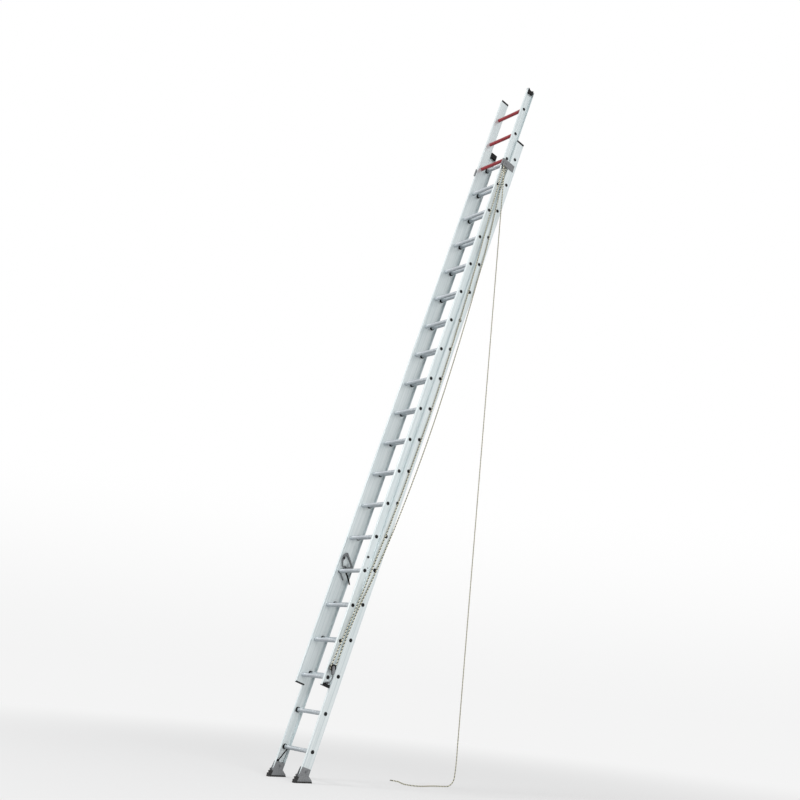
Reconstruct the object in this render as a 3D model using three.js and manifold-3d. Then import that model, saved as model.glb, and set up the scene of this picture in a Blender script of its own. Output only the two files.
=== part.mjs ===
// A two-section aluminium extension ladder, leaning as it stands in use. Millimetres, +Z up.
// X runs across the ladder, positive to the climber's right, and +Y points to the wall.
// The origin lies on the floor, midway between the pivots of the two shoes.
import * as THREE from "three";
import { mergeVertices } from "three/addons/utils/BufferGeometryUtils.js";
import Module from "manifold-3d";

const wasm = await Module();
wasm.setup();

// Driving dimensions of the whole ladder
const leanDegrees = 16;
const rungPitch = 304.8;
const rungsPerSection = 20;
const redRungs = 3;
const fitGap = 0.3; // between pieces that touch
const overrun = 5; // of cutters past what they cut
const overlap = 1; // of pieces that are joined into one

// Rails: the base channels open inwards, the fly channels outwards
const railDepth = 86;
const railWall = 3;
const railChamfer = 1.6;
const baseWidth = 411;
const baseFrontFlange = 20;
const baseRearFlange = 28;
const flyFlange = 21;
const flySideClearance = 1.5;
const interlockGap = 3;
const baseTail = 195; // below the lowest base rung
const baseHead = 205; // above the highest base rung
const flyTail = 72;
const flyHead = 233;

// Rungs
const rungRadius = 17;
const rungSides = 10;
const neckRadius = 11.5;
const neckClearance = 0.3;
const plugStandOut = 2;
const collarRadius = 22;
const collarLength = 14;

// How the fly hangs on the base
const raisedRungs = 2;
const flyRungDrop = 34.3; // of a fly rung below the base rung beside it
const lockRung = 4; // the fly rung that carries the locks, counted from its bottom

// Rail end caps
const capLid = 5;
const capLap = 0.8;
const capDepth = 45;
const footCapDepth = 20;
const capFlangeGap = 4;

const degrees = Math.PI / 180;
const half = (size) => size / 2;

// The corner radius of a round hole with this many sides, so that a shaft clears its flats
const boreCorner = (radius, sides) => radius / Math.cos(Math.PI / sides);

// Places that follow from the driving dimensions
const baseOuter = half(baseWidth);
const baseInner = baseOuter - railWall;
const flyTip = baseInner - flySideClearance;
const flyInner = flyTip - flyFlange;
const flyOuter = flyInner + railWall;
const sectionOffset = railDepth - 2 * railWall - interlockGap;
const flyRise = raisedRungs * rungPitch - flyRungDrop;
const topRung = (rungsPerSection - 1) * rungPitch;
const halfDepth = half(railDepth);

// Materials
const finish = (color, roughness, metalness) =>
  new THREE.MeshStandardMaterial({ color, roughness, metalness });
const aluminium = finish(0xc9d0d6, 0.42, 0.9);
const rungAluminium = finish(0xa9afb6, 0.45, 0.9);
const redCoat = finish(0x9c2733, 0.4, 0.1);
const castGrey = finish(0x6e7278, 0.6, 0.6);
const blackPlastic = finish(0x17181a, 0.5, 0);
const zincSteel = finish(0x8f9498, 0.4, 0.9);
const rubber = finish(0x1d1d1f, 0.85, 0);
const rope = finish(0xd8cfa2, 0.85, 0);

// Solids: booleans on closed geometries
function solid(geometry) {
  const bare = geometry.clone();
  bare.deleteAttribute("normal");
  bare.deleteAttribute("uv");
  const merged = mergeVertices(bare, 1e-4);
  return new wasm.Manifold(
    new wasm.Mesh({
      numProp: 3,
      vertProperties: new Float32Array(merged.attributes.position.array),
      triVerts: new Uint32Array(merged.index.array),
    }),
  );
}

function geometryOf(body) {
  const mesh = body.getMesh();
  const geometry = new THREE.BufferGeometry();
  geometry.setAttribute("position", new THREE.BufferAttribute(mesh.vertProperties, 3));
  geometry.setIndex(new THREE.BufferAttribute(mesh.triVerts, 1));
  geometry.computeVertexNormals();
  return geometry;
}

const join = (first, ...others) =>
  geometryOf(others.reduce((sum, next) => sum.add(solid(next)), solid(first)));
const cut = (first, ...others) =>
  geometryOf(others.reduce((left, next) => left.subtract(solid(next)), solid(first)));

// An outline in X and Y, raised along Z from low to high
function upright(points, low, high, holes = []) {
  const shape = new THREE.Shape(points);
  shape.holes = holes.map((hole) => new THREE.Path(hole));
  const geometry = new THREE.ExtrudeGeometry(shape, {
    depth: high - low,
    bevelEnabled: false,
    steps: 1,
  });
  return geometry.translate(0, 0, low);
}

// An outline in Y and Z, raised along X from low to high
const crossAxes = new THREE.Matrix4().makeBasis(
  new THREE.Vector3(0, 1, 0),
  new THREE.Vector3(0, 0, 1),
  new THREE.Vector3(1, 0, 0),
);
const across = (points, low, high, holes) => upright(points, low, high, holes).applyMatrix4(crossAxes);

const point = (x, y) => new THREE.Vector2(x, y);

// Points on an arc about (x, y), from one angle to another in degrees
function arc(x, y, radius, from, to, steps) {
  const points = [];
  for (let i = 0; i <= steps; i += 1) {
    const angle = (from + ((to - from) * i) / steps) * degrees;
    points.push(point(x + radius * Math.cos(angle), y + radius * Math.sin(angle)));
  }
  return points;
}

const circle = (x, y, radius, sides) => arc(x, y, radius, 0, 360 - 360 / sides, sides - 1);

// A round bar along X
const bar = (radius, low, high, sides, y = 0, z = 0) => across(circle(y, z, radius, sides), low, high);

// A turned form about the X axis, from (along X, radius) pairs
function turned(profile, sides) {
  const points = profile.map(([along, radius]) => point(radius, along));
  return new THREE.LatheGeometry(points, sides).rotateZ(-90 * degrees);
}

// A block between two corners
function block(x0, x1, y0, y1, z0, z1) {
  const geometry = new THREE.BoxGeometry(x1 - x0, y1 - y0, z1 - z0);
  return geometry.translate(half(x0 + x1), half(y0 + y1), half(z0 + z1));
}

// A straight rod between two points
function rod(from, to, radius, sides) {
  const run = new THREE.Vector3().subVectors(to, from);
  const geometry = new THREE.CylinderGeometry(radius, radius, run.length(), sides);
  const turn = new THREE.Quaternion().setFromUnitVectors(
    new THREE.Vector3(0, 1, 0),
    run.clone().normalize(),
  );
  geometry.applyQuaternion(turn);
  return geometry.translate(half(from.x + to.x), half(from.y + to.y), half(from.z + to.z));
}

function mesh(name, geometry, material) {
  const made = new THREE.Mesh(geometry, material);
  made.name = name;
  return made;
}

// Rails
function baseRailProfile() {
  return [
    point(baseOuter - railChamfer, -halfDepth),
    point(baseOuter, -halfDepth + railChamfer),
    point(baseOuter, halfDepth - railChamfer),
    point(baseOuter - railChamfer, halfDepth),
    point(baseOuter - baseRearFlange, halfDepth),
    point(baseOuter - baseRearFlange, halfDepth - railWall),
    point(baseInner, halfDepth - railWall),
    point(baseInner, -halfDepth + railWall),
    point(baseOuter - baseFrontFlange, -halfDepth + railWall),
    point(baseOuter - baseFrontFlange, -halfDepth),
  ];
}

function flyRailProfile() {
  return [
    point(flyInner + railChamfer, -halfDepth),
    point(flyTip, -halfDepth),
    point(flyTip, -halfDepth + railWall),
    point(flyOuter, -halfDepth + railWall),
    point(flyOuter, halfDepth - railWall),
    point(flyTip, halfDepth - railWall),
    point(flyTip, halfDepth),
    point(flyInner + railChamfer, halfDepth),
    point(flyInner, halfDepth - railChamfer),
    point(flyInner, -halfDepth + railChamfer),
  ];
}

// The holes that the rungs' necks pass through
function neckHoles(inner, outer) {
  const bore = boreCorner(neckRadius + neckClearance, rungSides);
  return Array.from({ length: rungsPerSection }, (_, i) =>
    bar(bore, inner - overrun, outer + overrun, rungSides, 0, i * rungPitch),
  );
}

// Cap lids lie over the web only, and their plugs leave room for the flange of the other section
const webLid = (low, high, z0, z1) =>
  block(low - capLap, high + capLap, -halfDepth - capLap, halfDepth + capLap, z0, z1);

function baseTopCap() {
  const top = topRung + baseHead;
  const freeStrip = -sectionOffset + halfDepth + capFlangeGap;
  const plug = block(
    baseOuter - baseRearFlange + railWall,
    baseInner + overlap,
    freeStrip,
    halfDepth - railWall + overlap,
    top - capDepth,
    top + capLid,
  );
  return [webLid(baseInner, baseOuter, top - overlap, top + capLid), plug];
}

function flyCap(end, outward) {
  const lid = outward > 0 ? [end - overlap, end + capLid] : [end - capLid, end + overlap];
  const reach = outward > 0 ? [end - capDepth, end + capLid] : [end - capLid, end + footCapDepth];
  const slot = sectionOffset - halfDepth - capFlangeGap;
  const plug = block(
    flyOuter - overlap,
    flyTip - capLap,
    -halfDepth + railWall - overlap,
    slot,
    ...reach,
  );
  return [webLid(flyInner, flyOuter, ...lid), plug];
}

// Shoes: cast feet that straddle the rail ends and swivel on a bolt
const shoePivot = 155; // below the lowest base rung
const shoeDrop = 84; // from the pivot to the floor
const shoePlate = 4;
const shoeTread = 6;
const padThickness = 12;
const shoeToe = 62;
const shoeHeel = 92;
const shoeTopHigh = 38;
const shoeTopLow = 18;
const shoeFrontEdge = 36;
const shoeRearEdge = 42;
const shoeWaist = 30;
const spurTooth = 9;
const boltRadius = 5;
const boltClearance = 0.4;
const boltHeadRadius = 10;
const boltHeadHeight = 5;
const boltSides = 8;
const padGroove = 4;
const padGrooves = 5;
const padLap = 2;

function shoePlateOutline() {
  const floorEdge = -shoeDrop + padThickness;
  const teeth = [];
  for (let i = 0; i < 3; i += 1) {
    teeth.push(point(-shoeHeel + i * spurTooth, floorEdge + shoeTread + (2 * i + 1) * spurTooth));
    teeth.push(point(-shoeHeel + (i + 1.6) * spurTooth, floorEdge + shoeTread + (2 * i + 1.4) * spurTooth));
  }
  return [
    point(-shoeHeel, floorEdge),
    point(shoeToe, floorEdge),
    point(shoeToe, floorEdge + shoeTread),
    point(shoeWaist, -shoeWaist),
    point(shoeRearEdge, shoeTopLow),
    point(-shoeFrontEdge, shoeTopHigh),
    ...teeth.reverse(),
  ];
}

function shoe() {
  const outerFace = baseOuter + fitGap;
  const innerFace = baseOuter - baseRearFlange - fitGap;
  const treadTop = -shoeDrop + padThickness + shoeTread;
  return join(
    across(shoePlateOutline(), outerFace, outerFace + shoePlate),
    across(shoePlateOutline(), innerFace - shoePlate, innerFace),
    block(
      innerFace - shoePlate,
      outerFace + shoePlate,
      -shoeHeel,
      shoeToe,
      -shoeDrop + padThickness,
      treadTop,
    ),
    bar(boltRadius, innerFace - shoePlate, outerFace + shoePlate, boltSides),
    bar(boltHeadRadius, outerFace + shoePlate - overlap, outerFace + shoePlate + boltHeadHeight, boltSides),
    bar(boltHeadRadius, innerFace - shoePlate - boltHeadHeight, innerFace - shoePlate + overlap, boltSides),
  );
}

function shoePad() {
  const top = -shoeDrop + padThickness - fitGap;
  const start = -shoeHeel - padLap;
  const end = shoeToe + padLap;
  const step = (end - start) / (2 * padGrooves + 1);
  const sole = [];
  for (let i = 0; i <= padGrooves; i += 1) {
    sole.push(point(start + 2 * i * step, -shoeDrop));
    sole.push(point(start + (2 * i + 1) * step, -shoeDrop));
    if (i < padGrooves) {
      sole.push(point(start + (2 * i + 1) * step, -shoeDrop + padGroove));
      sole.push(point(start + (2 * i + 2) * step, -shoeDrop + padGroove));
    }
  }
  const inner = baseOuter - baseRearFlange - fitGap - shoePlate - padLap;
  const outer = baseOuter + fitGap + shoePlate + padLap;
  return across([...sole, point(end, top), point(start, top)], inner, outer);
}

// Rungs
function baseRung() {
  const end = baseOuter + plugStandOut;
  const seat = baseInner - fitGap;
  return turned(
    [
      [-end, 0],
      [-end, neckRadius],
      [-seat, neckRadius],
      [-seat, collarRadius],
      [-seat + collarLength, collarRadius],
      [-seat + collarLength, rungRadius],
      [seat - collarLength, rungRadius],
      [seat - collarLength, collarRadius],
      [seat, collarRadius],
      [seat, neckRadius],
      [end, neckRadius],
      [end, 0],
    ],
    rungSides,
  );
}

function flyRung() {
  const end = flyOuter + plugStandOut;
  const seat = flyInner - fitGap;
  return turned(
    [
      [-end, 0],
      [-end, neckRadius],
      [-seat, neckRadius],
      [-seat, rungRadius],
      [seat, rungRadius],
      [seat, neckRadius],
      [end, neckRadius],
      [end, 0],
    ],
    rungSides,
  );
}

// Braces: a flattened rod from under the lowest rung to each base rail
const braceRadius = 5;
const braceSides = 6;
const braceInset = 50; // from the rail's web to the brace's upper end
const braceFoot = 122; // below the rung
const braceForward = 20;
const braceTab = 24;
const braceTabThickness = 3;

function lowestRung() {
  const web = baseInner - fitGap;
  const braces = [-1, 1].flatMap((side) => {
    const top = new THREE.Vector3(side * (web - braceInset), 0, -rungRadius + braceRadius);
    const foot = new THREE.Vector3(side * (web - braceRadius), -braceForward, -braceFoot);
    const tab = [side * (web - braceTabThickness), side * web].sort((first, second) => first - second);
    return [
      rod(top, foot, braceRadius, braceSides),
      block(
        ...tab,
        -braceForward - half(braceTab),
        -braceForward + half(braceTab),
        -braceFoot - half(braceTab),
        -braceFoot + half(braceTab),
      ),
    ];
  });
  return join(baseRung(), ...braces);
}

// Rung locks, drawn in Y and Z about the axis of the base rung that they rest on.
// A hook's front leg follows an arc about its pivot bolt, so that it can swing up off its rung
const lockThickness = 14;
const lockPivotForward = 90;
const lockPivotHeight = 80;
const lockBoltRadius = 6;
const lockBoltHeadRadius = 11;
const lockBoltHead = 6;
const lockApexForward = 72;
const lockApexHeight = 122;
const lockApexRadius = 12;
const lockShoulder = 20;
const lockLegWidth = 26;
const lockToeReach = 26;
const lockToeHeight = 46;
const lockToeNose = 24;
const lockWindowRadius = 13;
const lockWindowForward = 50;
const lockWindowHeight = 68;
const lockSeatSteps = 8;
const lockLegSteps = 4;
const lockLegEnd = -55; // degrees about the hook's bolt, from straight back
const fingerPinAngle = -68; // of the finger's bolt, likewise
const fingerPinInset = 12; // of the pin from the leg's rear edge
const fingerPinRadius = 4;
const fingerThickness = 6;
const fingerHeadRadius = 9;
const fingerTipRadius = 5;
const fingerKneeReach = 9;
const fingerKneeDepth = 49;
const fingerTipReach = 49;
const fingerTipDepth = 109;
const fingerSteps = 5;

const lockPivotReach = Math.hypot(lockPivotForward, lockPivotHeight);
const lockPivotFall = Math.atan2(-lockPivotHeight, lockPivotForward) / degrees;
const lockLegReach = lockPivotReach - rungRadius - fitGap;
const fingerPinReach = lockLegReach - fingerPinInset;
const fingerPin = arc(-lockPivotForward, lockPivotHeight, fingerPinReach, fingerPinAngle, 0, 1)[0];
const lockSeat = (lockRung - 1) * rungPitch + flyRungDrop;

function lockHook() {
  const legArc = (reach, from, to) => arc(-lockPivotForward, lockPivotHeight, reach, from, to, lockLegSteps);
  const outline = [
    ...arc(0, 0, rungRadius + fitGap, 50, 180 + lockPivotFall, lockSeatSteps),
    ...legArc(lockLegReach, lockPivotFall, lockLegEnd).slice(1),
    ...legArc(lockLegReach - lockLegWidth, lockLegEnd, lockLegEnd - lockShoulder),
    point(-lockPivotForward - lockApexRadius, lockPivotHeight - lockShoulder),
    point(-lockPivotForward - lockApexRadius, lockPivotHeight + lockShoulder),
    ...arc(-lockApexForward, lockApexHeight, lockApexRadius, 150, 45, 3),
    point(lockToeReach, lockToeHeight),
    point(lockToeReach, lockToeNose),
  ];
  const window = circle(-lockWindowForward, lockWindowHeight, lockWindowRadius, boltSides);
  const outer = flyInner - fitGap;
  const inner = outer - lockThickness;
  const head = flyOuter + fitGap;
  const bolt = [-lockPivotForward, lockPivotHeight];
  return join(
    across(outline.reverse(), inner, outer, [window]),
    bar(lockBoltRadius, inner - lockBoltHead, head + lockBoltHead, boltSides, ...bolt),
    bar(lockBoltHeadRadius, inner - lockBoltHead, inner + overlap, boltSides, ...bolt),
    bar(lockBoltHeadRadius, head, head + lockBoltHead, boltSides, ...bolt),
  );
}

// The holes in the fly rail that the bolts of a hook and of its finger turn in
function lockHoles() {
  const bolts = [
    [lockBoltRadius, -lockPivotForward, lockPivotHeight],
    [fingerPinRadius, fingerPin.x, fingerPin.y],
  ];
  return bolts.map(([radius, y, z]) => {
    const bore = boreCorner(radius + boltClearance, boltSides);
    return bar(bore, flyInner - overrun, flyOuter + overrun, boltSides, sectionOffset + y, lockSeat + z);
  });
}

// The finger's centre line bends from its own bolt in the fly rail, past its knee, to its tip
function lockFinger() {
  const knee = point(fingerKneeReach, -fingerKneeDepth);
  const line = new THREE.QuadraticBezierCurve(fingerPin, knee, point(fingerTipReach, -fingerTipDepth));
  const lower = [];
  const upper = [];
  for (let i = 0; i <= fingerSteps; i += 1) {
    const share = i / fingerSteps;
    const at = line.getPoint(share);
    const along = line.getTangent(share);
    const width = fingerHeadRadius + (fingerTipRadius - fingerHeadRadius) * share;
    lower.push(point(at.x + along.y * width, at.y - along.x * width));
    upper.push(point(at.x - along.y * width, at.y + along.x * width));
  }
  const heading = line.getTangent(0).angle() / degrees;
  const head = arc(fingerPin.x, fingerPin.y, fingerHeadRadius, heading + 120, heading + 240, 3);
  const outer = flyInner - fitGap - lockThickness - fitGap;
  const inner = outer - fingerThickness;
  const bolt = [fingerPin.x, fingerPin.y];
  return join(
    across([...lower, ...upper.reverse(), ...head], inner, outer),
    bar(fingerPinRadius, outer - overlap, flyOuter, boltSides, ...bolt),
    bar(fingerHeadRadius, inner - boltHeadHeight, inner + overlap, boltSides, ...bolt),
  );
}

// Guide plates under the fly rung below each lock, drawn about that rung's axis
const guideThickness = 3;
const guideReach = 54;
const guideDepth = 64;
const guideStart = 190; // degrees round the rung
const guideLeave = 300;

function guidedRung() {
  const skin = rungRadius + guideThickness;
  const outline = [
    ...arc(0, 0, skin, guideStart, guideLeave, 5),
    point(guideReach, -guideDepth),
    point(guideReach + guideThickness, -guideDepth + guideThickness),
    ...arc(0, 0, rungRadius - overlap, guideLeave, guideStart, 5),
  ];
  const outer = flyInner - fitGap;
  const inner = outer - lockThickness;
  return join(flyRung(), across(outline, inner, outer), across(outline, -outer, -inner));
}

// Guide brackets: plates on the base rails that wrap round the front of the fly rails
const bracketThickness = 3;
const bracketHeight = 72;
const bracketBelowTopRung = 69;
const bracketRearReach = 20;
const bracketGuideGap = 1;
const bracketLip = 22;
const bracketNoseRadius = 9;

function guideBracket() {
  const face = baseOuter + fitGap;
  const front = -sectionOffset - halfDepth - bracketGuideGap;
  const lipEnd = face + bracketThickness - bracketLip;
  const outline = [
    point(face, bracketRearReach),
    point(face, front),
    point(lipEnd, front),
    point(lipEnd, front - bracketThickness),
    ...arc(lipEnd + bracketNoseRadius, front - bracketThickness, bracketNoseRadius, 190, 350, 4),
    point(face + bracketThickness, front - bracketThickness),
    point(face + bracketThickness, bracketRearReach),
  ];
  const top = topRung - bracketBelowTopRung;
  return upright(outline, top - bracketHeight, top);
}

// The pulley housing on the right bracket, and its sheave
const ropeRadius = 4.75;
const ropeSides = 6;
const sheaveRadius = 27;
const pitchRadius = 21.3;
const sheaveWidth = 15;
const sheaveSides = 14;
const sheaveSideGap = 0.8;
const grooveRimHalf = 6.7;
const grooveRootHalf = 4.8;
const grooveSlack = 0.9;
const axleRadius = 5;
const axleClearance = 0.1;
const axleSides = 10;
const spacerSides = 6;
const topSheaveForward = 95;
const topSheaveBelowTopRung = 119;
const cheekThickness = 3;
const cheekRadius = 33;
const becketRadius = 4;
const becketGap = 1;
const spacerRadius = 4;
const sheavePlane = baseOuter + fitGap + bracketThickness + fitGap + half(sheaveWidth);
const becketDrop = sheaveRadius + becketGap + becketRadius;
const cheekInside = sheavePlane + half(sheaveWidth) + sheaveSideGap;

function sheave() {
  const root = pitchRadius - ropeRadius - grooveSlack;
  const flat = half(sheaveWidth);
  const bore = boreCorner(axleRadius + axleClearance, sheaveSides);
  return turned(
    [
      [-flat, bore],
      [-flat, sheaveRadius],
      [-grooveRimHalf, sheaveRadius],
      [-grooveRootHalf, root],
      [grooveRootHalf, root],
      [grooveRimHalf, sheaveRadius],
      [flat, sheaveRadius],
      [flat, bore],
      [-flat, bore],
    ],
    sheaveSides,
  );
}

// The rope's dead end is held by the becket pin in the housing's foot
function pulleyHousing() {
  const y = -topSheaveForward;
  const z = topRung - topSheaveBelowTopRung;
  const plate = baseOuter + fitGap + bracketThickness - overlap;
  const foot = z - becketDrop - becketRadius;
  const cheek = [
    ...arc(y, z, cheekRadius, 0, 180, 6),
    point(y - cheekRadius, foot),
    point(y + cheekRadius, foot),
  ];
  const spacer = z + sheaveRadius + spacerRadius;
  return [
    across(cheek, cheekInside, cheekInside + cheekThickness),
    bar(axleRadius, plate, cheekInside + cheekThickness + boltHeadHeight, axleSides, y, z),
    bar(spacerRadius, plate, cheekInside + overlap, spacerSides, y, spacer),
    bar(becketRadius, plate, cheekInside + overlap, spacerSides, y, z - becketDrop),
  ];
}

// The lower block: two tapered cheeks on a stud in the fly rail, with the moving sheave between them
const blockForward = 83; // of the sheave, before the base rails' middle
const blockAboveRung = 80; // above the lowest fly rung
const blockStudDrop = 44; // of the stud, below the lowest fly rung
const blockStudRadius = 6;
const blockCheekRadius = 29;
const blockTailRadius = 10;

function lowerBlock() {
  const y = sectionOffset - blockForward;
  const inner = sheavePlane - half(sheaveWidth) - sheaveSideGap;
  const outer = sheavePlane + half(sheaveWidth) + sheaveSideGap;
  const outline = [
    ...arc(y, blockAboveRung, blockCheekRadius, -20, 200, 8),
    ...arc(y, -blockStudDrop, blockTailRadius, 200, 340, 4),
  ];
  return join(
    across(outline, inner - cheekThickness, inner),
    across(outline, outer, outer + cheekThickness),
    bar(axleRadius, inner - overlap, outer + overlap, axleSides, y, blockAboveRung),
    bar(blockTailRadius, inner - overlap, outer + overlap, boltSides, y, -blockStudDrop),
    bar(blockStudRadius, flyOuter + fitGap, inner, boltSides, y, -blockStudDrop),
  );
}

// Ropes: points chosen by hand. The falls' are in the leaning frame about the lowest base rung,
// and the haul part's in the standing frame
const fallFrontPoints = [
  [212, -95, 5635.6],
  [212, -97, 5560],
  [213, -88, 5360],
  [214, -72, 5060],
  [214, -44, 4700],
  [214, -21, 4300],
  [214, -2, 3850],
  [214, 12, 3400],
  [214, 17, 2950],
  [214, 10, 2450],
  [214, -4, 2000],
  [214, -30, 1560],
  [214, -60, 1150],
  [215, -90, 830],
  [216.6, -104.3, 657],
];
const fallBackPoints = [
  [216.6, -61.7, 656],
  [216, -61, 720],
  [214, -54, 900],
  [214, -36, 1150],
  [214, 4, 1450],
  [214, 42, 1850],
  [214, 70, 2350],
  [214, 82, 2850],
  [214, 77, 3350],
  [214, 62, 3850],
  [214, 38, 4350],
  [214, 6, 4850],
  [214, -40, 5260],
  [215.5, -68, 5520],
  [216.6, -73.7, 5671],
];
const haulPoints = [
  [216.8, 1493.6, 5688],
  [218.6, 1493.6, 5668],
  [223, 1493.6, 5640],
  [227, 1493.6, 5590],
  [229.5, 1493.6, 5520],
  [229.5, 1493.6, 5000],
  [229.5, 1493.6, 4000],
  [229.5, 1493.6, 3000],
  [229.5, 1493.6, 2000],
  [229.5, 1493.6, 1000],
  [229.5, 1493.6, 400],
  [229.5, 1492, 150],
  [228, 1478, 50],
  [222, 1440, 12],
  [210, 1385, 4.9],
  [198, 1310, 4.9],
  [212, 1225, 4.9],
  [240, 1145, 4.9],
  [225, 1065, 4.9],
  [145, 1035, 4.9],
  [45, 1065, 4.9],
  [-50, 1105, 4.9],
  [-130, 1085, 4.9],
];
const turnSteps = 5;
const turnStartShare = 0.01;
const stepsPerPoint = 2;

const vectors = (points) => points.map(([x, y, z]) => new THREE.Vector3(x, y, z));

// A curve that is sampled evenly between its points, however far apart they lie
class RopeCurve extends THREE.CatmullRomCurve3 {
  getPointAt(share, target) {
    return this.getPoint(share, target);
  }

  getTangentAt(share, target) {
    return this.getTangent(share, target);
  }
}

function ropeTube(path, stepsEach) {
  const section = new THREE.Shape(circle(0, 0, ropeRadius, ropeSides));
  return new THREE.ExtrudeGeometry(section, {
    steps: stepsEach * (path.length - 1),
    bevelEnabled: false,
    extrudePath: new RopeCurve(path),
  });
}

// The rope's points round a sheave, from one angle to another in radians
function turnPath(centre, from, to) {
  return Array.from({ length: turnSteps + 1 }, (_, i) => {
    const angle = from + (to - from) * (turnStartShare + ((1 - turnStartShare) * i) / turnSteps);
    const across = pitchRadius * Math.cos(angle);
    return new THREE.Vector3(centre.x, centre.y + across, centre.z + pitchRadius * Math.sin(angle));
  });
}

// The back fall goes round under the lower sheave from the front fall's end
function fallBackPath() {
  const centre = new THREE.Vector3(sheavePlane, -blockForward, flyRise + blockAboveRung);
  return [...turnPath(centre, -Math.PI, 0), ...vectors(fallBackPoints).slice(1)];
}

// The assembly: a leaning group holds both sections, the shoes stand level under it
const lean = leanDegrees * degrees;
const ladder = new THREE.Group();
ladder.rotation.x = -lean;
ladder.position.set(0, shoePivot * Math.sin(lean), shoeDrop + shoePivot * Math.cos(lean));

// The haul part goes over the top sheave, from the back fall's end to where it hangs plumb
function haulPath() {
  const centre = new THREE.Vector3(sheavePlane, -topSheaveForward, topRung - topSheaveBelowTopRung);
  ladder.updateMatrixWorld(true);
  return [...turnPath(centre.applyMatrix4(ladder.matrixWorld), -lean, Math.PI), ...vectors(haulPoints)];
}

const sides = [
  ["left", -1],
  ["right", 1],
];

function rungName(section, i) {
  return `${section}_rung_${String(i + 1).padStart(2, "0")}`;
}

function baseSection() {
  const group = new THREE.Group();
  const shoeHole = bar(
    boreCorner(boltRadius + boltClearance, boltSides),
    baseInner - overrun,
    baseOuter + overrun,
    boltSides,
    0,
    -shoePivot,
  );
  const rail = join(
    cut(
      upright(baseRailProfile(), -baseTail, topRung + baseHead),
      ...neckHoles(baseInner, baseOuter),
      shoeHole,
    ),
    ...baseTopCap(),
  );
  sides.forEach(([side, sign]) => {
    const handed = new THREE.Group();
    handed.scale.x = sign;
    handed.add(mesh(`base_rail_${side}`, rail, aluminium));
    const bracket = sign > 0 ? join(guideBracket(), ...pulleyHousing()) : guideBracket();
    handed.add(mesh(`guide_bracket_${side}`, bracket, castGrey));
    group.add(handed);
  });
  for (let i = 0; i < rungsPerSection; i += 1) {
    const rung = mesh(rungName("base", i), i > 0 ? baseRung() : lowestRung(), rungAluminium);
    rung.position.z = i * rungPitch;
    group.add(rung);
  }
  const topSheave = mesh("top_sheave", sheave(), blackPlastic);
  topSheave.position.set(sheavePlane, -topSheaveForward, topRung - topSheaveBelowTopRung);
  group.add(topSheave);
  return group;
}

function flySection() {
  const group = new THREE.Group();
  group.position.set(0, -sectionOffset, flyRise);
  const rail = join(
    cut(
      upright(flyRailProfile(), -flyTail, topRung + flyHead),
      ...neckHoles(flyInner, flyOuter),
      ...lockHoles(),
    ),
    ...flyCap(topRung + flyHead, 1),
    ...flyCap(-flyTail, -1),
  );
  sides.forEach(([side, sign]) => {
    const handed = new THREE.Group();
    handed.scale.x = sign;
    handed.add(mesh(`fly_rail_${side}`, rail, aluminium));
    const lock = new THREE.Group();
    lock.position.set(0, sectionOffset, lockSeat);
    lock.add(mesh(`lock_hook_${side}`, lockHook(), zincSteel));
    lock.add(mesh(`lock_finger_${side}`, lockFinger(), blackPlastic));
    handed.add(lock);
    group.add(handed);
  });
  for (let i = 0; i < rungsPerSection; i += 1) {
    const coat = i < rungsPerSection - redRungs ? rungAluminium : redCoat;
    const form = i + 1 === lockRung ? guidedRung() : flyRung();
    const rung = mesh(rungName("fly", i), form, coat);
    rung.position.z = i * rungPitch;
    group.add(rung);
  }
  group.add(mesh("lower_block", lowerBlock(), castGrey));
  const lowerSheave = mesh("lower_sheave", sheave(), blackPlastic);
  lowerSheave.position.set(sheavePlane, sectionOffset - blockForward, blockAboveRung);
  group.add(lowerSheave);
  return group;
}

ladder.add(baseSection(), flySection());
ladder.add(mesh("rope_fall_front", ropeTube(vectors(fallFrontPoints), 1), rope));
ladder.add(mesh("rope_fall_back", ropeTube(fallBackPath(), stepsPerPoint), rope));

const part = new THREE.Group();
part.add(ladder);
sides.forEach(([side, sign]) => {
  const foot = new THREE.Group();
  foot.scale.x = sign;
  foot.position.z = shoeDrop;
  foot.add(mesh(`shoe_${side}`, shoe(), castGrey));
  foot.add(mesh(`shoe_pad_${side}`, shoePad(), rubber));
  part.add(foot);
});
part.add(mesh("rope_haul", ropeTube(haulPath(), stepsPerPoint), rope));

export default part;
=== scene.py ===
# %% [markdown]
# # A leaning extension ladder
# A two-section aluminium ladder stands in use: the fly section hangs on the front of the base section,
# and a rope over two pulleys raises it. The measured frame comes from a CAD model, so that each piece
# can be built where the real one sits. Lengths are metres, +Z is up and +Y points to the wall.

# %% Load the measured frame
import math

import bmesh
import bpy
from mathutils import Matrix, Vector, geometry


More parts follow.
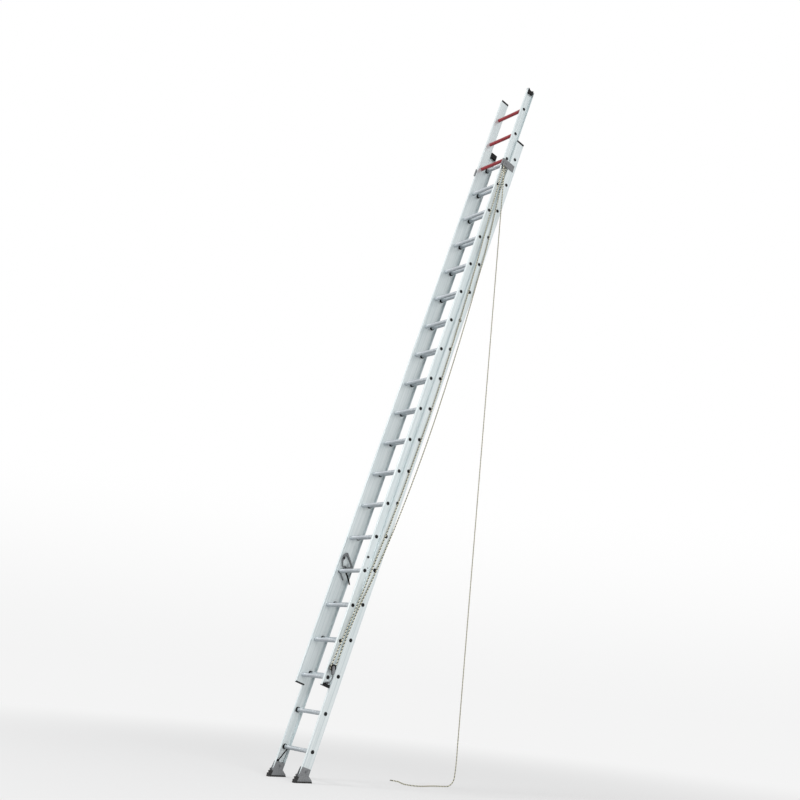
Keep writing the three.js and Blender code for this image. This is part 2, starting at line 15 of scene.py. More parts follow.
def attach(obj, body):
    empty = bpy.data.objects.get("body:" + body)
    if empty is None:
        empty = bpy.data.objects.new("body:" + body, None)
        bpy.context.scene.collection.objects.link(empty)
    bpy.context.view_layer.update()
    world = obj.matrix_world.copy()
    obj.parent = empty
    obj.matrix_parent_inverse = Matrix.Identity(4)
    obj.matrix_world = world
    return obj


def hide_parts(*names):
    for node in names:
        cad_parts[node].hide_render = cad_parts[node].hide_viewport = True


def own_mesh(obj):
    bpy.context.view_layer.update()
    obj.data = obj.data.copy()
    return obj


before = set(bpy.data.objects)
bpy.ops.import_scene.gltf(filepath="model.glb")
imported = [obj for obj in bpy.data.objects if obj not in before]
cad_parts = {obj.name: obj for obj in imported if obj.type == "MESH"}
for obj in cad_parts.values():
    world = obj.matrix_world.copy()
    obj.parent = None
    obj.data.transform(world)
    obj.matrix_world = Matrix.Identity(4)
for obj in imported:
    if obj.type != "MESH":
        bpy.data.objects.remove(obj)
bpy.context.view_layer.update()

# %% [markdown]
# ## The ladder's own axes
# A ladder is drawn most easily upright: x runs across it, n from the climber to the wall side, and u up
# its rails. One matrix then leans it by 16 degrees about the bolts of its feet. Building pieces in their
# own axes and turning them once is simpler than working out slanted coordinates for each piece.

# %% Lean the ladder
LEAN = math.radians(16)
PIVOT_HEIGHT = 0.084
PIVOT_BELOW_RUNG = 0.155
RUNG_PITCH = 0.3048
RUNGS = 20
TOP_RUNG = (RUNGS - 1) * RUNG_PITCH
SECTION_OFFSET = 0.077
FLY_RISE = 2 * RUNG_PITCH - 0.0343
LOCK_SEAT = 5 * RUNG_PITCH
leaning = Matrix(
    (
        (1, 0, 0, 0),
        (0, math.cos(LEAN), math.sin(LEAN), PIVOT_BELOW_RUNG * math.sin(LEAN)),
        (0, -math.sin(LEAN), math.cos(LEAN), PIVOT_HEIGHT + PIVOT_BELOW_RUNG * math.cos(LEAN)),
        (0, 0, 0, 1),
    )
)
standing = Matrix.Translation((0, 0, PIVOT_HEIGHT))
print("top rung of the base at", [round(v, 3) for v in leaning @ Vector((0, 0, TOP_RUNG))])

# %% [markdown]
# ## The camera
# The photographer stood to the climber's right and looked up a little. The ladder's rungs are one foot
# apart, so their ends in the picture give the place and the lens of the camera by a fit.

# %% Set the camera
camera_data = bpy.data.cameras.new("camera")
camera_data.lens = 52.449
camera_data.sensor_width = 36
camera_data.clip_end = 200
camera = bpy.data.objects.new("camera", camera_data)
camera.location = (8.0809, -5.2271, 0.9046)
camera.rotation_euler = [math.radians(angle) for angle in (103.1236, -5.4653, 52.4627)]
bpy.context.scene.collection.objects.link(camera)
bpy.context.scene.camera = camera
print("camera", [round(v, 3) for v in camera.location])

# %% [markdown]
# ## Shader maths as Python
# A node tree is a sum written in boxes. This class wraps one output socket, so that 1 - mask * 0.3 adds
# the Math nodes that say the same. It picks Vector Math for vectors, and one method adds any other node.

# %% Wrap a socket
class Wire:
    def __init__(self, tree, socket=None):
        self.tree = tree
        self.socket = socket

    def add(self, kind, settings=None, inputs=None, output=0):
        node = self.tree.nodes.new(kind)
        for name, value in (settings or {}).items():
            if name == "stops":
                ramp = node.color_ramp.elements
                while len(ramp) < len(value):
                    ramp.new(0.5)
                for stop, (place, shade) in zip(ramp, value):
                    stop.position = place
                    stop.color = (shade, shade, shade, 1)
            else:
                setattr(node, name, value)
        for name, value in (inputs or {}).items():
            if isinstance(value, Wire):
                self.tree.links.new(value.socket, node.inputs[name])
            else:
                node.inputs[name].default_value = value
        return Wire(self.tree, node.outputs[output])

    def sum(self, operation, first, second):
        kind = "ShaderNodeVectorMath" if self.socket.type == "VECTOR" else "ShaderNodeMath"
        return self.add(kind, {"operation": operation}, {0: first, 1: second})

    def __add__(self, other):
        return self.sum("ADD", self, other)

    def __radd__(self, other):
        return self.sum("ADD", other, self)

    def __sub__(self, other):
        return self.sum("SUBTRACT", self, other)

    def __rsub__(self, other):
        return self.sum("SUBTRACT", other, self)

    def __mul__(self, other):
        return self.sum("MULTIPLY", self, other)

    def __rmul__(self, other):
        return self.sum("MULTIPLY", other, self)

    def mix(self, dark, pale):
        return self.add(
            "ShaderNodeMix",
            {"data_type": "RGBA"},
            {0: self, 6: dark, 7: pale},
            2,
        )

    def ramp(self, low, high):
        stops = [(low, 0.0), (high, 1.0)]
        return self.add("ShaderNodeValToRGB", {"stops": stops}, {0: self})


print("one class for the shader sums")

# %% [markdown]
# ## Finishes
# Extruded aluminium shows fine lines along its length, cast parts a grainy skin, and plastic a soft
# sheen. Each finish mixes two near colours by a noise that is stretched as the real one is, and the same
# noise lifts the surface a little. Object coordinates keep the pattern on the piece when it moves.

# %% Helpers for finishes
def colour(red, green, blue):
    return (red, green, blue, 1)


def place_on(wire, lean=0.0):
    place = wire.add("ShaderNodeTexCoord", {}, {}, "Object")
    turned_back = {"Vector": place, "Angle": lean}
    return wire.add("ShaderNodeVectorRotate", {"rotation_type": "X_AXIS"}, turned_back)


def grain(wire, place, stretch, detail=3.0):
    spread = place * stretch
    return wire.add("ShaderNodeTexNoise", {}, {"Vector": spread, "Scale": 1.0, "Detail": detail})


def bumped(wire, height, strength, distance):
    sockets = {"Height": height, "Strength": strength, "Distance": distance}
    return wire.add("ShaderNodeBump", {}, sockets)


def finish(name, look):
    made = bpy.data.materials.new(name)
    made.use_nodes = True
    shader = made.node_tree.nodes["Principled BSDF"]
    for socket, value in look(Wire(made.node_tree)).items():
        if isinstance(value, Wire):
            made.node_tree.links.new(value.socket, shader.inputs[socket])
        else:
            shader.inputs[socket].default_value = value
    return made


print("helpers for finishes")

# %% [markdown]
# ## Aluminium for the rails
# The rails are mill-finish extrusions: pale, with streaks along their length, handled to a soft satin.
# The noise is squeezed across the rail and drawn out along it, which gives the streaks. A slow second
# noise makes the broad patches that outdoor aluminium gets.

# %% Rail aluminium
def rail_look(wire):
    place = place_on(wire, LEAN)
    streaks = grain(wire, place, (260, 260, 1.6))
    patches = grain(wire, place, (9, 9, 1.1), 2.0).ramp(0.35, 0.7)
    shade = streaks.ramp(0.3, 0.72)
    bands = grain(wire, place, (110, 110, 0.25), 2.0).ramp(0.40, 0.60)
    pale = shade.mix(colour(0.56, 0.64, 0.66), colour(0.74, 0.80, 0.81))
    bright = shade.mix(colour(0.76, 0.82, 0.83), colour(0.88, 0.925, 0.93))
    return {
        "Base Color": (patches * 0.5 + bands * 0.5).mix(pale, bright),
        "Metallic": 0.55,
        "Roughness": 0.34 + streaks * 0.16,
        "Normal": bumped(wire, streaks, 0.15, 0.0003),
    }


rail_aluminium = finish("rail_aluminium", rail_look)
print(rail_aluminium.name)

# %% [markdown]
# ## Aluminium for the rungs
# A rung is a fluted tube. Its colours are darker than the rails', partly for the dirt its grooves hold and
# partly as painted shade in those grooves. Its streaks run along x, so the noise is stretched the other way.

# %% Rung aluminium and red coat
def rung_look(wire):
    place = place_on(wire)
    streaks = grain(wire, place, (5, 420, 420))
    scuffs = grain(wire, place, (34, 60, 60), 4.0).ramp(0.5, 0.72)
    shade = streaks.ramp(0.3, 0.75)
    # Darker tones than the rails: partly dirt, partly painted shade of the flutes.
    dirt_and_groove_shade = shade.mix(colour(0.36, 0.40, 0.43), colour(0.62, 0.66, 0.69))
    return {
        "Base Color": scuffs.mix(dirt_and_groove_shade, colour(0.72, 0.75, 0.77)),
        "Metallic": 0.72,
        "Roughness": 0.40 + scuffs * 0.12,
        "Normal": bumped(wire, streaks, 0.25, 0.0004),
    }


def red_look(wire):
    place = place_on(wire)
    cloud = grain(wire, place, (30, 70, 70), 4.0)
    wear = cloud.ramp(0.62, 0.78)
    fresh = cloud.ramp(0.3, 0.6).mix(colour(0.20, 0.012, 0.020), colour(0.34, 0.024, 0.034))
    return {
        "Base Color": wear.mix(fresh, colour(0.42, 0.075, 0.085)),
        "Roughness": 0.34 + wear * 0.2,
        "Normal": bumped(wire, cloud, 0.15, 0.0005),
    }


rung_aluminium = finish("rung_aluminium", rung_look)
red_coat = finish("red_coat", red_look)
print(rung_aluminium.name, red_coat.name)

# %% [markdown]
# ## Castings, plastic, steel and rubber
# The feet, the guide brackets and the lower block's straps are dull castings with a sandy skin. Plugs,
# caps, braces and pulley wheels are black plastic. The rung locks are zinc-plated steel, whose plating
# is cloudy, and their bolts a darker steel. Soles and heel spurs are rubber. Each is one noise with two
# near colours, because these finishes differ in grain and shine more than in pattern.

# %% The other hard finishes
def cast_look(wire):
    place = place_on(wire)
    sand = grain(wire, place, (900, 900, 900), 2.0)
    cloud = grain(wire, place, (150, 150, 150), 4.0)
    shade = (sand * 0.4 + cloud * 0.6).ramp(0.35, 0.68)
    return {
        "Base Color": shade.mix(colour(0.17, 0.175, 0.182), colour(0.33, 0.34, 0.35)),
        "Metallic": 0.55,
        "Roughness": 0.52 + sand * 0.2,
        "Normal": bumped(wire, sand, 0.5, 0.0006),
    }


def plastic_look(wire):
    sand = grain(wire, place_on(wire), (700, 700, 700), 2.0)
    return {
        "Base Color": sand.ramp(0.3, 0.7).mix(colour(0.004, 0.004, 0.0045), colour(0.012, 0.012, 0.013)),
        "Specular IOR Level": 0.22,
        "Roughness": 0.42 + sand * 0.2,
        "Normal": bumped(wire, sand, 0.2, 0.0003),
    }


def zinc_look(wire):
    place = place_on(wire)
    cloud = grain(wire, place, (260, 260, 260), 4.0)
    return {
        "Base Color": cloud.ramp(0.35, 0.68).mix(colour(0.12, 0.125, 0.132), colour(0.29, 0.30, 0.31)),
        "Metallic": 0.85,
        "Roughness": 0.30 + cloud * 0.25,
        "Normal": bumped(wire, cloud, 0.15, 0.0004),
    }


def dark_steel_look(wire):
    cloud = grain(wire, place_on(wire), (260, 260, 260), 4.0)
    return {
        "Base Color": cloud.ramp(0.35, 0.68).mix(colour(0.018, 0.019, 0.020), colour(0.06, 0.061, 0.064)),
        "Metallic": 0.8,
        "Roughness": 0.34 + cloud * 0.22,
        "Normal": bumped(wire, cloud, 0.15, 0.0004),
    }


def rubber_look(wire):
    sand = grain(wire, place_on(wire), (500, 500, 500), 4.0)
    return {
        "Base Color": sand.ramp(0.35, 0.7).mix(colour(0.016, 0.016, 0.016), colour(0.045, 0.044, 0.043)),
        "Roughness": 0.78 + sand * 0.15,
        "Normal": bumped(wire, sand, 0.5, 0.0005),
    }


cast_grey = finish("cast_grey", cast_look)
black_plastic = finish("black_plastic", plastic_look)
zinc_steel = finish("zinc_steel", zinc_look)
dark_steel = finish("dark_steel", dark_steel_look)
rubber = finish("rubber", rubber_look)
print(cast_grey.name, black_plastic.name, zinc_steel.name, dark_steel.name, rubber.name)

# %% [markdown]
# ## Laid rope
# The rope is three cream strands twisted together, and a dark yarn in one strand shows as a fleck at
# each turn. The valleys between the strands get painted shade. The mesh stores how much of the dark yarn
# and of that painted shade each point has, so that the colour follows the twist wherever the rope bends.

# %% Rope finish
def rope_look(wire):
    tracer = wire.add("ShaderNodeAttribute", {"attribute_name": "tracer"}, {}, "Fac")
    valley = wire.add("ShaderNodeAttribute", {"attribute_name": "valley"}, {}, "Fac")
    fibres = grain(wire, place_on(wire), (1500, 1500, 260), 3.0)
    cream = fibres.ramp(0.3, 0.7).mix(colour(0.74, 0.70, 0.50), colour(0.94, 0.92, 0.76))
    # Painted shade: the valleys between the strands are darkened towards a dull brown.
    shaded = valley.mix(cream, colour(0.50, 0.45, 0.29))
    return {
        "Base Color": tracer.mix(shaded, colour(0.005, 0.006, 0.003)),
        "Roughness": 0.80 + fibres * 0.15,
        "Normal": bumped(wire, fibres, 0.4, 0.0005),
    }


def whipping_look(wire):
    turns = grain(wire, place_on(wire), (900, 900, 900), 2.0)
    return {
        "Base Color": turns.ramp(0.3, 0.7).mix(colour(0.012, 0.011, 0.010), colour(0.05, 0.045, 0.035)),
        "Roughness": 0.7 + turns * 0.2,
        "Normal": bumped(wire, turns, 0.4, 0.0005),
    }


rope_finish = finish("rope_laid", rope_look)
whipping_finish = finish("rope_whipping", whipping_look)
print(rope_finish.name, whipping_finish.name)

# %% [markdown]
# ## From points to pieces
# A piece is a list of points and a list of faces, turned into place by one matrix. Small forms are added
# together before they become an object. Its edges get a narrow bevel, because real edges catch the light.

# %% Make an object
class Form:
    def __init__(self, points=(), faces=()):
        self.points = [Vector(point) for point in points]
        self.faces = [list(face) for face in faces]

    def __add__(self, other):
        start = len(self.points)
        shifted = [[start + corner for corner in face] for face in other.faces]
        return Form(self.points + other.points, self.faces + shifted)

    def placed(self, matrix):
        return Form([matrix @ point for point in self.points], self.faces)

    def at(self, x=0.0, n=0.0, u=0.0):
        return self.placed(Matrix.Translation((x, n, u)))

    def mirrored(self):
        points = [Vector((-point.x, point.y, point.z)) for point in self.points]
        return Form(points, [face[::-1] for face in self.faces])


def mesh_of(name, form, finish_used, smooth_degrees=35):
    made = bpy.data.meshes.new(name)
    made.from_pydata([tuple(point) for point in form.points], [], form.faces)
    work = bmesh.new()
    work.from_mesh(made)
    bmesh.ops.recalc_face_normals(work, faces=work.faces)
    for face in work.faces:
        face.smooth = True
    work.to_mesh(made)
    work.free()
    made.set_sharp_from_angle(angle=math.radians(smooth_degrees))
    made.materials.append(finish_used)
    return made


def show(name, mesh, body, nodes=(), bevel=0.0, place=None):
    piece = bpy.data.objects.new(name, mesh)
    bpy.context.scene.collection.objects.link(piece)
    if place is not None:
        piece.matrix_world = place
    if bevel:
        edge = piece.modifiers.new("edges", "BEVEL")
        edge.width = bevel
        edge.segments = 2
        edge.limit_method = "ANGLE"
        edge.angle_limit = math.radians(35)
        edge.harden_normals = True
    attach(piece, body)
    if nodes:
        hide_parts(*nodes)
    return piece


print("forms become objects with mesh_of and show")

# %% [markdown]
# ## Rope on a smooth line
# A rope hangs in smooth bends, so its given points are joined by a centripetal curve, which never
# makes loops between points of uneven spacing. The line is then walked in equal steps, and a ring is
# drawn at each. A round tube would do, but three lobes that turn along the way give real strands.

# %% Walk a smooth line
ROPE_RADIUS = 0.00475
ROPE_STEP = 0.0025
ROPE_LAY = 0.0270
ROPE_SIDES = 15
STEPS_BETWEEN_POINTS = 24


def between(a, b, c, d, steps):
    knots = [0.0]
    for first, second in ((a, b), (b, c), (c, d)):
        knots.append(knots[-1] + max((second - first).length, 1e-6) ** 0.5)
    k0, k1, k2, k3 = knots
    line = []
    for i in range(steps):
        t = k1 + (k2 - k1) * i / steps
        ab = a * ((k1 - t) / (k1 - k0)) + b * ((t - k0) / (k1 - k0))
        bc = b * ((k2 - t) / (k2 - k1)) + c * ((t - k1) / (k2 - k1))
        cd = c * ((k3 - t) / (k3 - k2)) + d * ((t - k2) / (k3 - k2))
        abc = ab * ((k2 - t) / (k2 - k0)) + bc * ((t - k0) / (k2 - k0))
        bcd = bc * ((k3 - t) / (k3 - k1)) + cd * ((t - k1) / (k3 - k1))
        line.append(abc * ((k2 - t) / (k2 - k1)) + bcd * ((t - k1) / (k2 - k1)))
    return line


def smooth_line(points):
    ends = [points[0] * 2 - points[1], *points, points[-1] * 2 - points[-2]]
    line = []
    for a, b, c, d in zip(ends, ends[1:], ends[2:], ends[3:]):
        line += between(a, b, c, d, STEPS_BETWEEN_POINTS)
    lowest = min(point.z for point in points)
    return [Vector((at.x, at.y, max(at.z, lowest))) for at in line] + [points[-1]]


def even_steps(line, step):
    runs = [(b - a).length for a, b in zip(line, line[1:])]
    total = sum(runs)
    count = max(2, round(total / step))
    walked, index, done = [], 0, 0.0
    for i in range(count + 1):
        want = total * i / count
        while index < len(runs) - 1 and done + runs[index] < want:
            done += runs[index]
            index += 1
        share = (want - done) / max(runs[index], 1e-9)
        walked.append(line[index].lerp(line[index + 1], min(share, 1.0)))
    return walked, total


print("rope of", ROPE_RADIUS * 2000, "mm with a lay of", ROPE_LAY * 1000, "mm")

# %% Draw the strands
STRANDS = 3
VALLEY_RADIUS, STRAND_RISE = 0.88, 0.12
# The last of these sets how sharply the painted shade in the valleys between strands fades out.
TRACER_START, TRACER_EDGE, VALLEY_SHADE_EDGE = 0.02, 6, 1.9


def rings_along(path):
    frames = []
    side = None
    for i, here in enumerate(path):
        ahead = path[min(i + 1, len(path) - 1)] - path[max(i - 1, 0)]
        ahead.normalize()
        if side is None:
            side = ahead.orthogonal().normalized()
        side = (side - ahead * side.dot(ahead)).normalized()
        frames.append((here, side, ahead.cross(side)))
    return frames


def tube_faces(rows, sides):
    faces = [
        (
            row * sides + k,
            row * sides + (k + 1) % sides,
            (row + 1) * sides + (k + 1) % sides,
            (row + 1) * sides + k,
        )
        for row in range(rows - 1)
        for k in range(sides)
    ]
    return faces + [list(range(sides)), list(range((rows - 1) * sides, rows * sides))]


def rope_mesh(name, path, step, start_turn=0.0):
    points, tracer, valley = [], [], []
    for i, (here, side, other) in enumerate(rings_along(path)):
        turn = start_turn + 2 * math.pi * i * step / ROPE_LAY
        for k in range(ROPE_SIDES):
            angle = 2 * math.pi * k / ROPE_SIDES
            lobe = abs(math.cos(STRANDS / 2 * (angle - turn)))
            radius = ROPE_RADIUS * (VALLEY_RADIUS + STRAND_RISE * lobe)
            points.append(here + side * (radius * math.cos(angle)) + other * (radius * math.sin(angle)))
            dark = math.cos(angle - turn)
            tracer.append(min(1.0, max(0.0, (dark - TRACER_START) * TRACER_EDGE)))
            # Painted shade for the valleys between the strands, strongest where the lobes sink lowest.
            valley.append(min(1.0, max(0.0, 1 - lobe * VALLEY_SHADE_EDGE)))
    form = Form(points, tube_faces(len(path), ROPE_SIDES))
    made = mesh_of(name, form, rope_finish, smooth_degrees=80)
    for label, values in (("tracer", tracer), ("valley", valley)):
        attribute = made.attributes.new(label, "FLOAT", "POINT")
        attribute.data.foreach_set("value", values)
    return made


print(ROPE_SIDES, "points round each ring of rope")

# %% [markdown]
# ## The rope's three parts
# The rope is tied under the upper pulley, runs down to the pulley on the fly, back up over the upper
# pulley, and hangs free to the floor, where its end lies in a loose bend. It is a limp cord, about 9.5 mm
# thick, and the photograph shows it from end to end. As the fly rises, the two runs along the ladder get
# shorter, and the share of each run that would stay is worked out. The turn under the lower pulley moves
# with the fly.

# %% Rope routes
SHEAVE_X = 0.2166
PITCH_RADIUS = 0.0213
TOP_SHEAVE = (SHEAVE_X, -0.095, TOP_RUNG - 0.119)
LOWER_SHEAVE = (SHEAVE_X, -0.083, FLY_RISE + 0.080)
front_points = [
    (0.2120, -0.0950, 5.6356),
    (0.2120, -0.0970, 5.5600),
    (0.2130, -0.0880, 5.3600),
    (0.2140, -0.0720, 5.0600),
    (0.2140, -0.0440, 4.7000),
    (0.2140, -0.0210, 4.3000),
    (0.2140, -0.0020, 3.8500),
    (0.2140, 0.0120, 3.4000),
    (0.2140, 0.0170, 2.9500),
    (0.2140, 0.0100, 2.4500),
    (0.2140, -0.0040, 2.0000),
    (0.2140, -0.0300, 1.5600),
    (0.2140, -0.0600, 1.1500),
    (0.2150, -0.0900, 0.8300),
    (0.2166, -0.1043, 0.6570),
]
back_points = [
    (0.2166, -0.0617, 0.6560),
    (0.2160, -0.0610, 0.7200),
    (0.2140, -0.0540, 0.9000),
    (0.2140, -0.0360, 1.1500),
    (0.2140, 0.0040, 1.4500),
    (0.2140, 0.0420, 1.8500),
    (0.2140, 0.0700, 2.3500),
    (0.2140, 0.0820, 2.8500),
    (0.2140, 0.0770, 3.3500),
    (0.2140, 0.0620, 3.8500),
    (0.2140, 0.0380, 4.3500),
    (0.2140, 0.0060, 4.8500),
    (0.2140, -0.0400, 5.2600),
    (0.2155, -0.0680, 5.5200),
    (0.2166, -0.0737, 5.6710),
]
haul_points = [
    (0.2168, 1.4936, 5.688),
    (0.2186, 1.4936, 5.668),
    (0.2230, 1.4936, 5.640),
    (0.2270, 1.4936, 5.590),
    (0.2295, 1.4936, 5.520),
    (0.2295, 1.4936, 5.000),
    (0.2295, 1.4936, 4.000),
    (0.2295, 1.4936, 3.000),
    (0.2295, 1.4936, 2.000),
    (0.2295, 1.4936, 1.000),
    (0.2295, 1.4936, 0.400),
    (0.2295, 1.4920, 0.150),
    (0.2280, 1.4780, 0.050),
    (0.2220, 1.4400, 0.012),
    (0.2100, 1.3850, 0.0049),
    (0.1980, 1.3100, 0.0049),
    (0.2120, 1.2250, 0.0049),
    (0.2400, 1.1450, 0.0049),
    (0.2250, 1.0650, 0.0049),
    (0.1450, 1.0350, 0.0049),
    (0.0450, 1.0650, 0.0049),
    (-0.0500, 1.1050, 0.0049),
    (-0.1300, 1.0850, 0.0049),
]


def round_sheave(centre, start, end, steps=5):
    turned_points = []
    for i in range(steps + 1):
        angle = start + (end - start) * (0.01 + 0.99 * i / steps)
        across = PITCH_RADIUS * math.cos(angle)
        up = PITCH_RADIUS * math.sin(angle)
        turned_points.append(centre + Vector((0, across, up)))
    return turned_points


front_route = [leaning @ Vector(point) for point in front_points]
back_route = [leaning @ Vector(point) for point in back_points]
turn_route = [leaning @ point for point in round_sheave(Vector(LOWER_SHEAVE), -math.pi, 0)]
over_route = round_sheave(leaning @ Vector(TOP_SHEAVE), -LEAN, math.pi)
haul_route = over_route + [Vector(point) for point in haul_points]
print("routes of", len(front_route), len(back_route), len(turn_route), len(haul_route), "points")

# %% Lay the ropes
def lay_rope(name, route, body, nodes=()):
    path, length = even_steps(smooth_line(route), ROPE_STEP)
    mesh = rope_mesh(name, path, length / (len(path) - 1))
    piece = show(name, mesh, body, nodes)
    print(name, round(length, 3), "m long")
    return piece, path, length


def declare(path):
    [tuple(point) for point in path[::2] + [path[-1]]]


front, front_path, front_length = lay_rope("rope_run_front", front_route, "base", ["rope_fall_front"])
back, back_path, back_length = lay_rope("rope_run_back", back_route, "base", ["rope_fall_back"])
haul, haul_path, haul_length = lay_rope("rope_hauling_part", haul_route, "base", ["rope_haul"])
turn = lay_rope("rope_under_wheel", turn_route, "fly")[0]

# %% [markdown]
# ## The rope's whipped end
# A cut rope frays, so its end is wound with dark twine. A short sleeve of close rings does that better
# than a smooth cap, because the turns of the twine show at the edge.

# %% Whip the end
def sleeve(path, radius, ridge, sides=18):
    points = []
    for i, (here, side, other) in enumerate(rings_along(path)):
        reach = radius + (ridge if i % 2 else 0.0)
        for k in range(sides):
            angle = 2 * math.pi * k / sides
            points.append(here + side * (reach * math.cos(angle)) + other * (reach * math.sin(angle)))
    return Form(points, tube_faces(len(path), sides))


WHIPPED_STEPS, TWINE_STEP, TWINE_RIDGE = 11, 0.0012, 0.0002
tail_path, tail_length = even_steps(haul_path[-WHIPPED_STEPS:], TWINE_STEP)
tail = sleeve(tail_path, ROPE_RADIUS - TWINE_RIDGE, TWINE_RIDGE)
whipping = show("rope_whipping", mesh_of("rope_whipping", tail, whipping_finish), "base")
print("whipping of", round(tail_length * 1000), "mm")

TRAVEL = 14 * RUNG_PITCH


def shorten(piece, top):
    run = LOWER_SHEAVE[2] - top[2]
    keep = (abs(run) - TRAVEL) / abs(run)
    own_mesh(piece)
    return keep


declare(front_path)
declare(back_path)
declare(haul_path)
print("share kept", round(shorten(front, front_points[0]), 3), round(shorten(back, back_points[-1]), 3))

# %% [markdown]
# ## Forms for metalwork
# Nearly every part of a ladder is an extrusion, a plate or a turned piece. A slab raises an outline, with
# its holes, and a turned form spins a profile about the x axis. Both use enough steps to look round.
# Pieces that touch are drawn a hair apart, because two faces in one plane would flicker.

# %% Slabs, turned forms and bars
GAP, HAIR = 0.0003, 0.0001


def ring_of(y, z, radius, sides=40):
    steps = [2 * math.pi * i / sides for i in range(sides)]
    return [(y + radius * math.cos(a), z + radius * math.sin(a)) for a in steps]


def arc_of(y, z, radius, start, end, steps):
    turns = [math.radians(start + (end - start) * i / steps) for i in range(steps + 1)]
    return [(y + radius * math.cos(a), z + radius * math.sin(a)) for a in turns]


def slab(outline, low, high, holes=(), along="x"):
    loops = [list(outline), *[list(hole) for hole in holes]]
    flat = [point for loop in loops for point in loop]
    triangles = geometry.tessellate_polygon([[Vector((a, b, 0)) for a, b in loop] for loop in loops])
    count = len(flat)
    if along == "x":
        points = [(low, a, b) for a, b in flat] + [(high, a, b) for a, b in flat]
    else:
        points = [(a, b, low) for a, b in flat] + [(a, b, high) for a, b in flat]
    faces = [list(t) for t in triangles] + [[i + count for i in t][::-1] for t in triangles]
    start = 0
    for loop in loops:
        size = len(loop)
        for i in range(size):
            j = (i + 1) % size
            faces.append([start + i, start + j, start + j + count, start + i + count])
        start += size
    return Form(points, faces)


def spun(profile, sides=48, closed=False):
    points, rings = [], []
    for along, radius in profile:
        start = len(points)
        count = 1 if radius < 1e-9 else sides
        for k in range(count):
            angle = 2 * math.pi * k / sides
            points.append((along, radius * math.cos(angle), radius * math.sin(angle)))
        rings.append((start, count))
    faces = []
    pairs = list(zip(rings, rings[1:])) + ([(rings[-1], rings[0])] if closed else [])
    for (first, first_count), (second, second_count) in pairs:
        for k in range(sides):
            j = (k + 1) % sides
            corners = [
                first + k % first_count,
                first + j % first_count,
                second + j % second_count,
                second + k % second_count,
            ]
            faces.append(list(dict.fromkeys(corners)))
    return Form(points, faces)


def bar(radius, low, high, y=0.0, z=0.0, sides=40):
    return slab(ring_of(y, z, radius, sides), low, high)


def block(x0, x1, n0, n1, u0, u1):
    return slab([(x0, n0), (x1, n0), (x1, n1), (x0, n1)], u0, u1, along="u")


print("slab, spun, bar and block")

# %% [markdown]
# ## Rails
# The base rails are channels that open inwards and the fly rails channels that open outwards, so that
# the flanges hook round each other and the fly can't fall off. The profile is extruded, and a boolean
# drills it for the rungs and bolts, as the factory does.

# %% Rail profiles
OUTER, INNER, WALL = 0.2055, 0.2025, 0.003
FLY_INNER, FLY_OUTER, FLY_TIP = 0.180, 0.183, 0.201
HALF_DEPTH = 0.043
base_profile = [
    (OUTER, -HALF_DEPTH),
    (OUTER, HALF_DEPTH),
    (OUTER - 0.028, HALF_DEPTH),
    (OUTER - 0.028, HALF_DEPTH - WALL),
    (INNER, HALF_DEPTH - WALL),
    (INNER, -HALF_DEPTH + WALL),
    (OUTER - 0.020, -HALF_DEPTH + WALL),
    (OUTER - 0.020, -HALF_DEPTH),
]
fly_profile = [
    (FLY_INNER, -HALF_DEPTH),
    (FLY_TIP, -HALF_DEPTH),
    (FLY_TIP, -HALF_DEPTH + WALL),
    (FLY_OUTER, -HALF_DEPTH + WALL),
    (FLY_OUTER, HALF_DEPTH - WALL),
    (FLY_TIP, HALF_DEPTH - WALL),
    (FLY_TIP, HALF_DEPTH),
    (FLY_INNER, HALF_DEPTH),
]
HOOK_BOLT = (-0.090, 0.080)
BOLT_TO_RUNG = math.hypot(*HOOK_BOLT)
FINGER_REACH = BOLT_TO_RUNG - 0.0173 - 0.012
FINGER_TURN = math.radians(-68)
FINGER_BOLT = (
    HOOK_BOLT[0] + FINGER_REACH * math.cos(FINGER_TURN),
    HOOK_BOLT[1] + FINGER_REACH * math.sin(FINGER_TURN),
)
print("finger bolt at", [round(v, 4) for v in FINGER_BOLT])


# %% Drill the rails
def drilled(name, form, drills):
    solid = bpy.data.objects.new(name + "_work", mesh_of(name + "_work", form, rail_aluminium))
    cutter_form = Form()
    for drill in drills:
        cutter_form += drill
    cutter = bpy.data.objects.new(name + "_drill", mesh_of(name + "_drill", cutter_form, rail_aluminium))
    for made in (solid, cutter):
        bpy.context.scene.collection.objects.link(made)
    cut = solid.modifiers.new("cut", "BOOLEAN")
    cut.operation = "DIFFERENCE"
    cut.solver = "EXACT"
    cut.object = cutter
    graph = bpy.context.evaluated_depsgraph_get()
    done = bpy.data.meshes.new_from_object(solid.evaluated_get(graph))
    result = Form([v.co for v in done.vertices], [list(face.vertices) for face in done.polygons])
    for made in (solid, cutter):
        bpy.data.objects.remove(made)
    return result


DRILL_PAST = 0.004


def neck_drills(low, high):
    return [bar(0.0119, low - DRILL_PAST, high + DRILL_PAST, 0, i * RUNG_PITCH, 28) for i in range(RUNGS)]


def bolt_drill(radius, low, high, n, u):
    return bar(radius, low - DRILL_PAST, high + DRILL_PAST, n, u, 24)


base_foot, base_end = -0.195, TOP_RUNG + 0.205
fly_foot_end, fly_end = -0.072, TOP_RUNG + 0.233
shoe_drill = bolt_drill(0.0054, INNER, OUTER, 0, -PIVOT_BELOW_RUNG)
base_raw = slab(base_profile, base_foot, base_end, along="u")
base_channel = drilled("base_channel", base_raw, neck_drills(INNER, OUTER) + [shoe_drill])
lock_height = LOCK_SEAT - FLY_RISE
lock_drills = [
    bolt_drill(radius, FLY_INNER, FLY_OUTER, SECTION_OFFSET + bolt[0], lock_height + bolt[1])
    for radius, bolt in ((0.0064, HOOK_BOLT), (0.0044, FINGER_BOLT))
]
fly_raw = slab(fly_profile, fly_foot_end, fly_end, along="u")
fly_channel = drilled("fly_channel", fly_raw, neck_drills(FLY_INNER, FLY_OUTER) + lock_drills)
print("faces of a base rail", len(base_channel.faces), "and of a fly rail", len(fly_channel.faces))

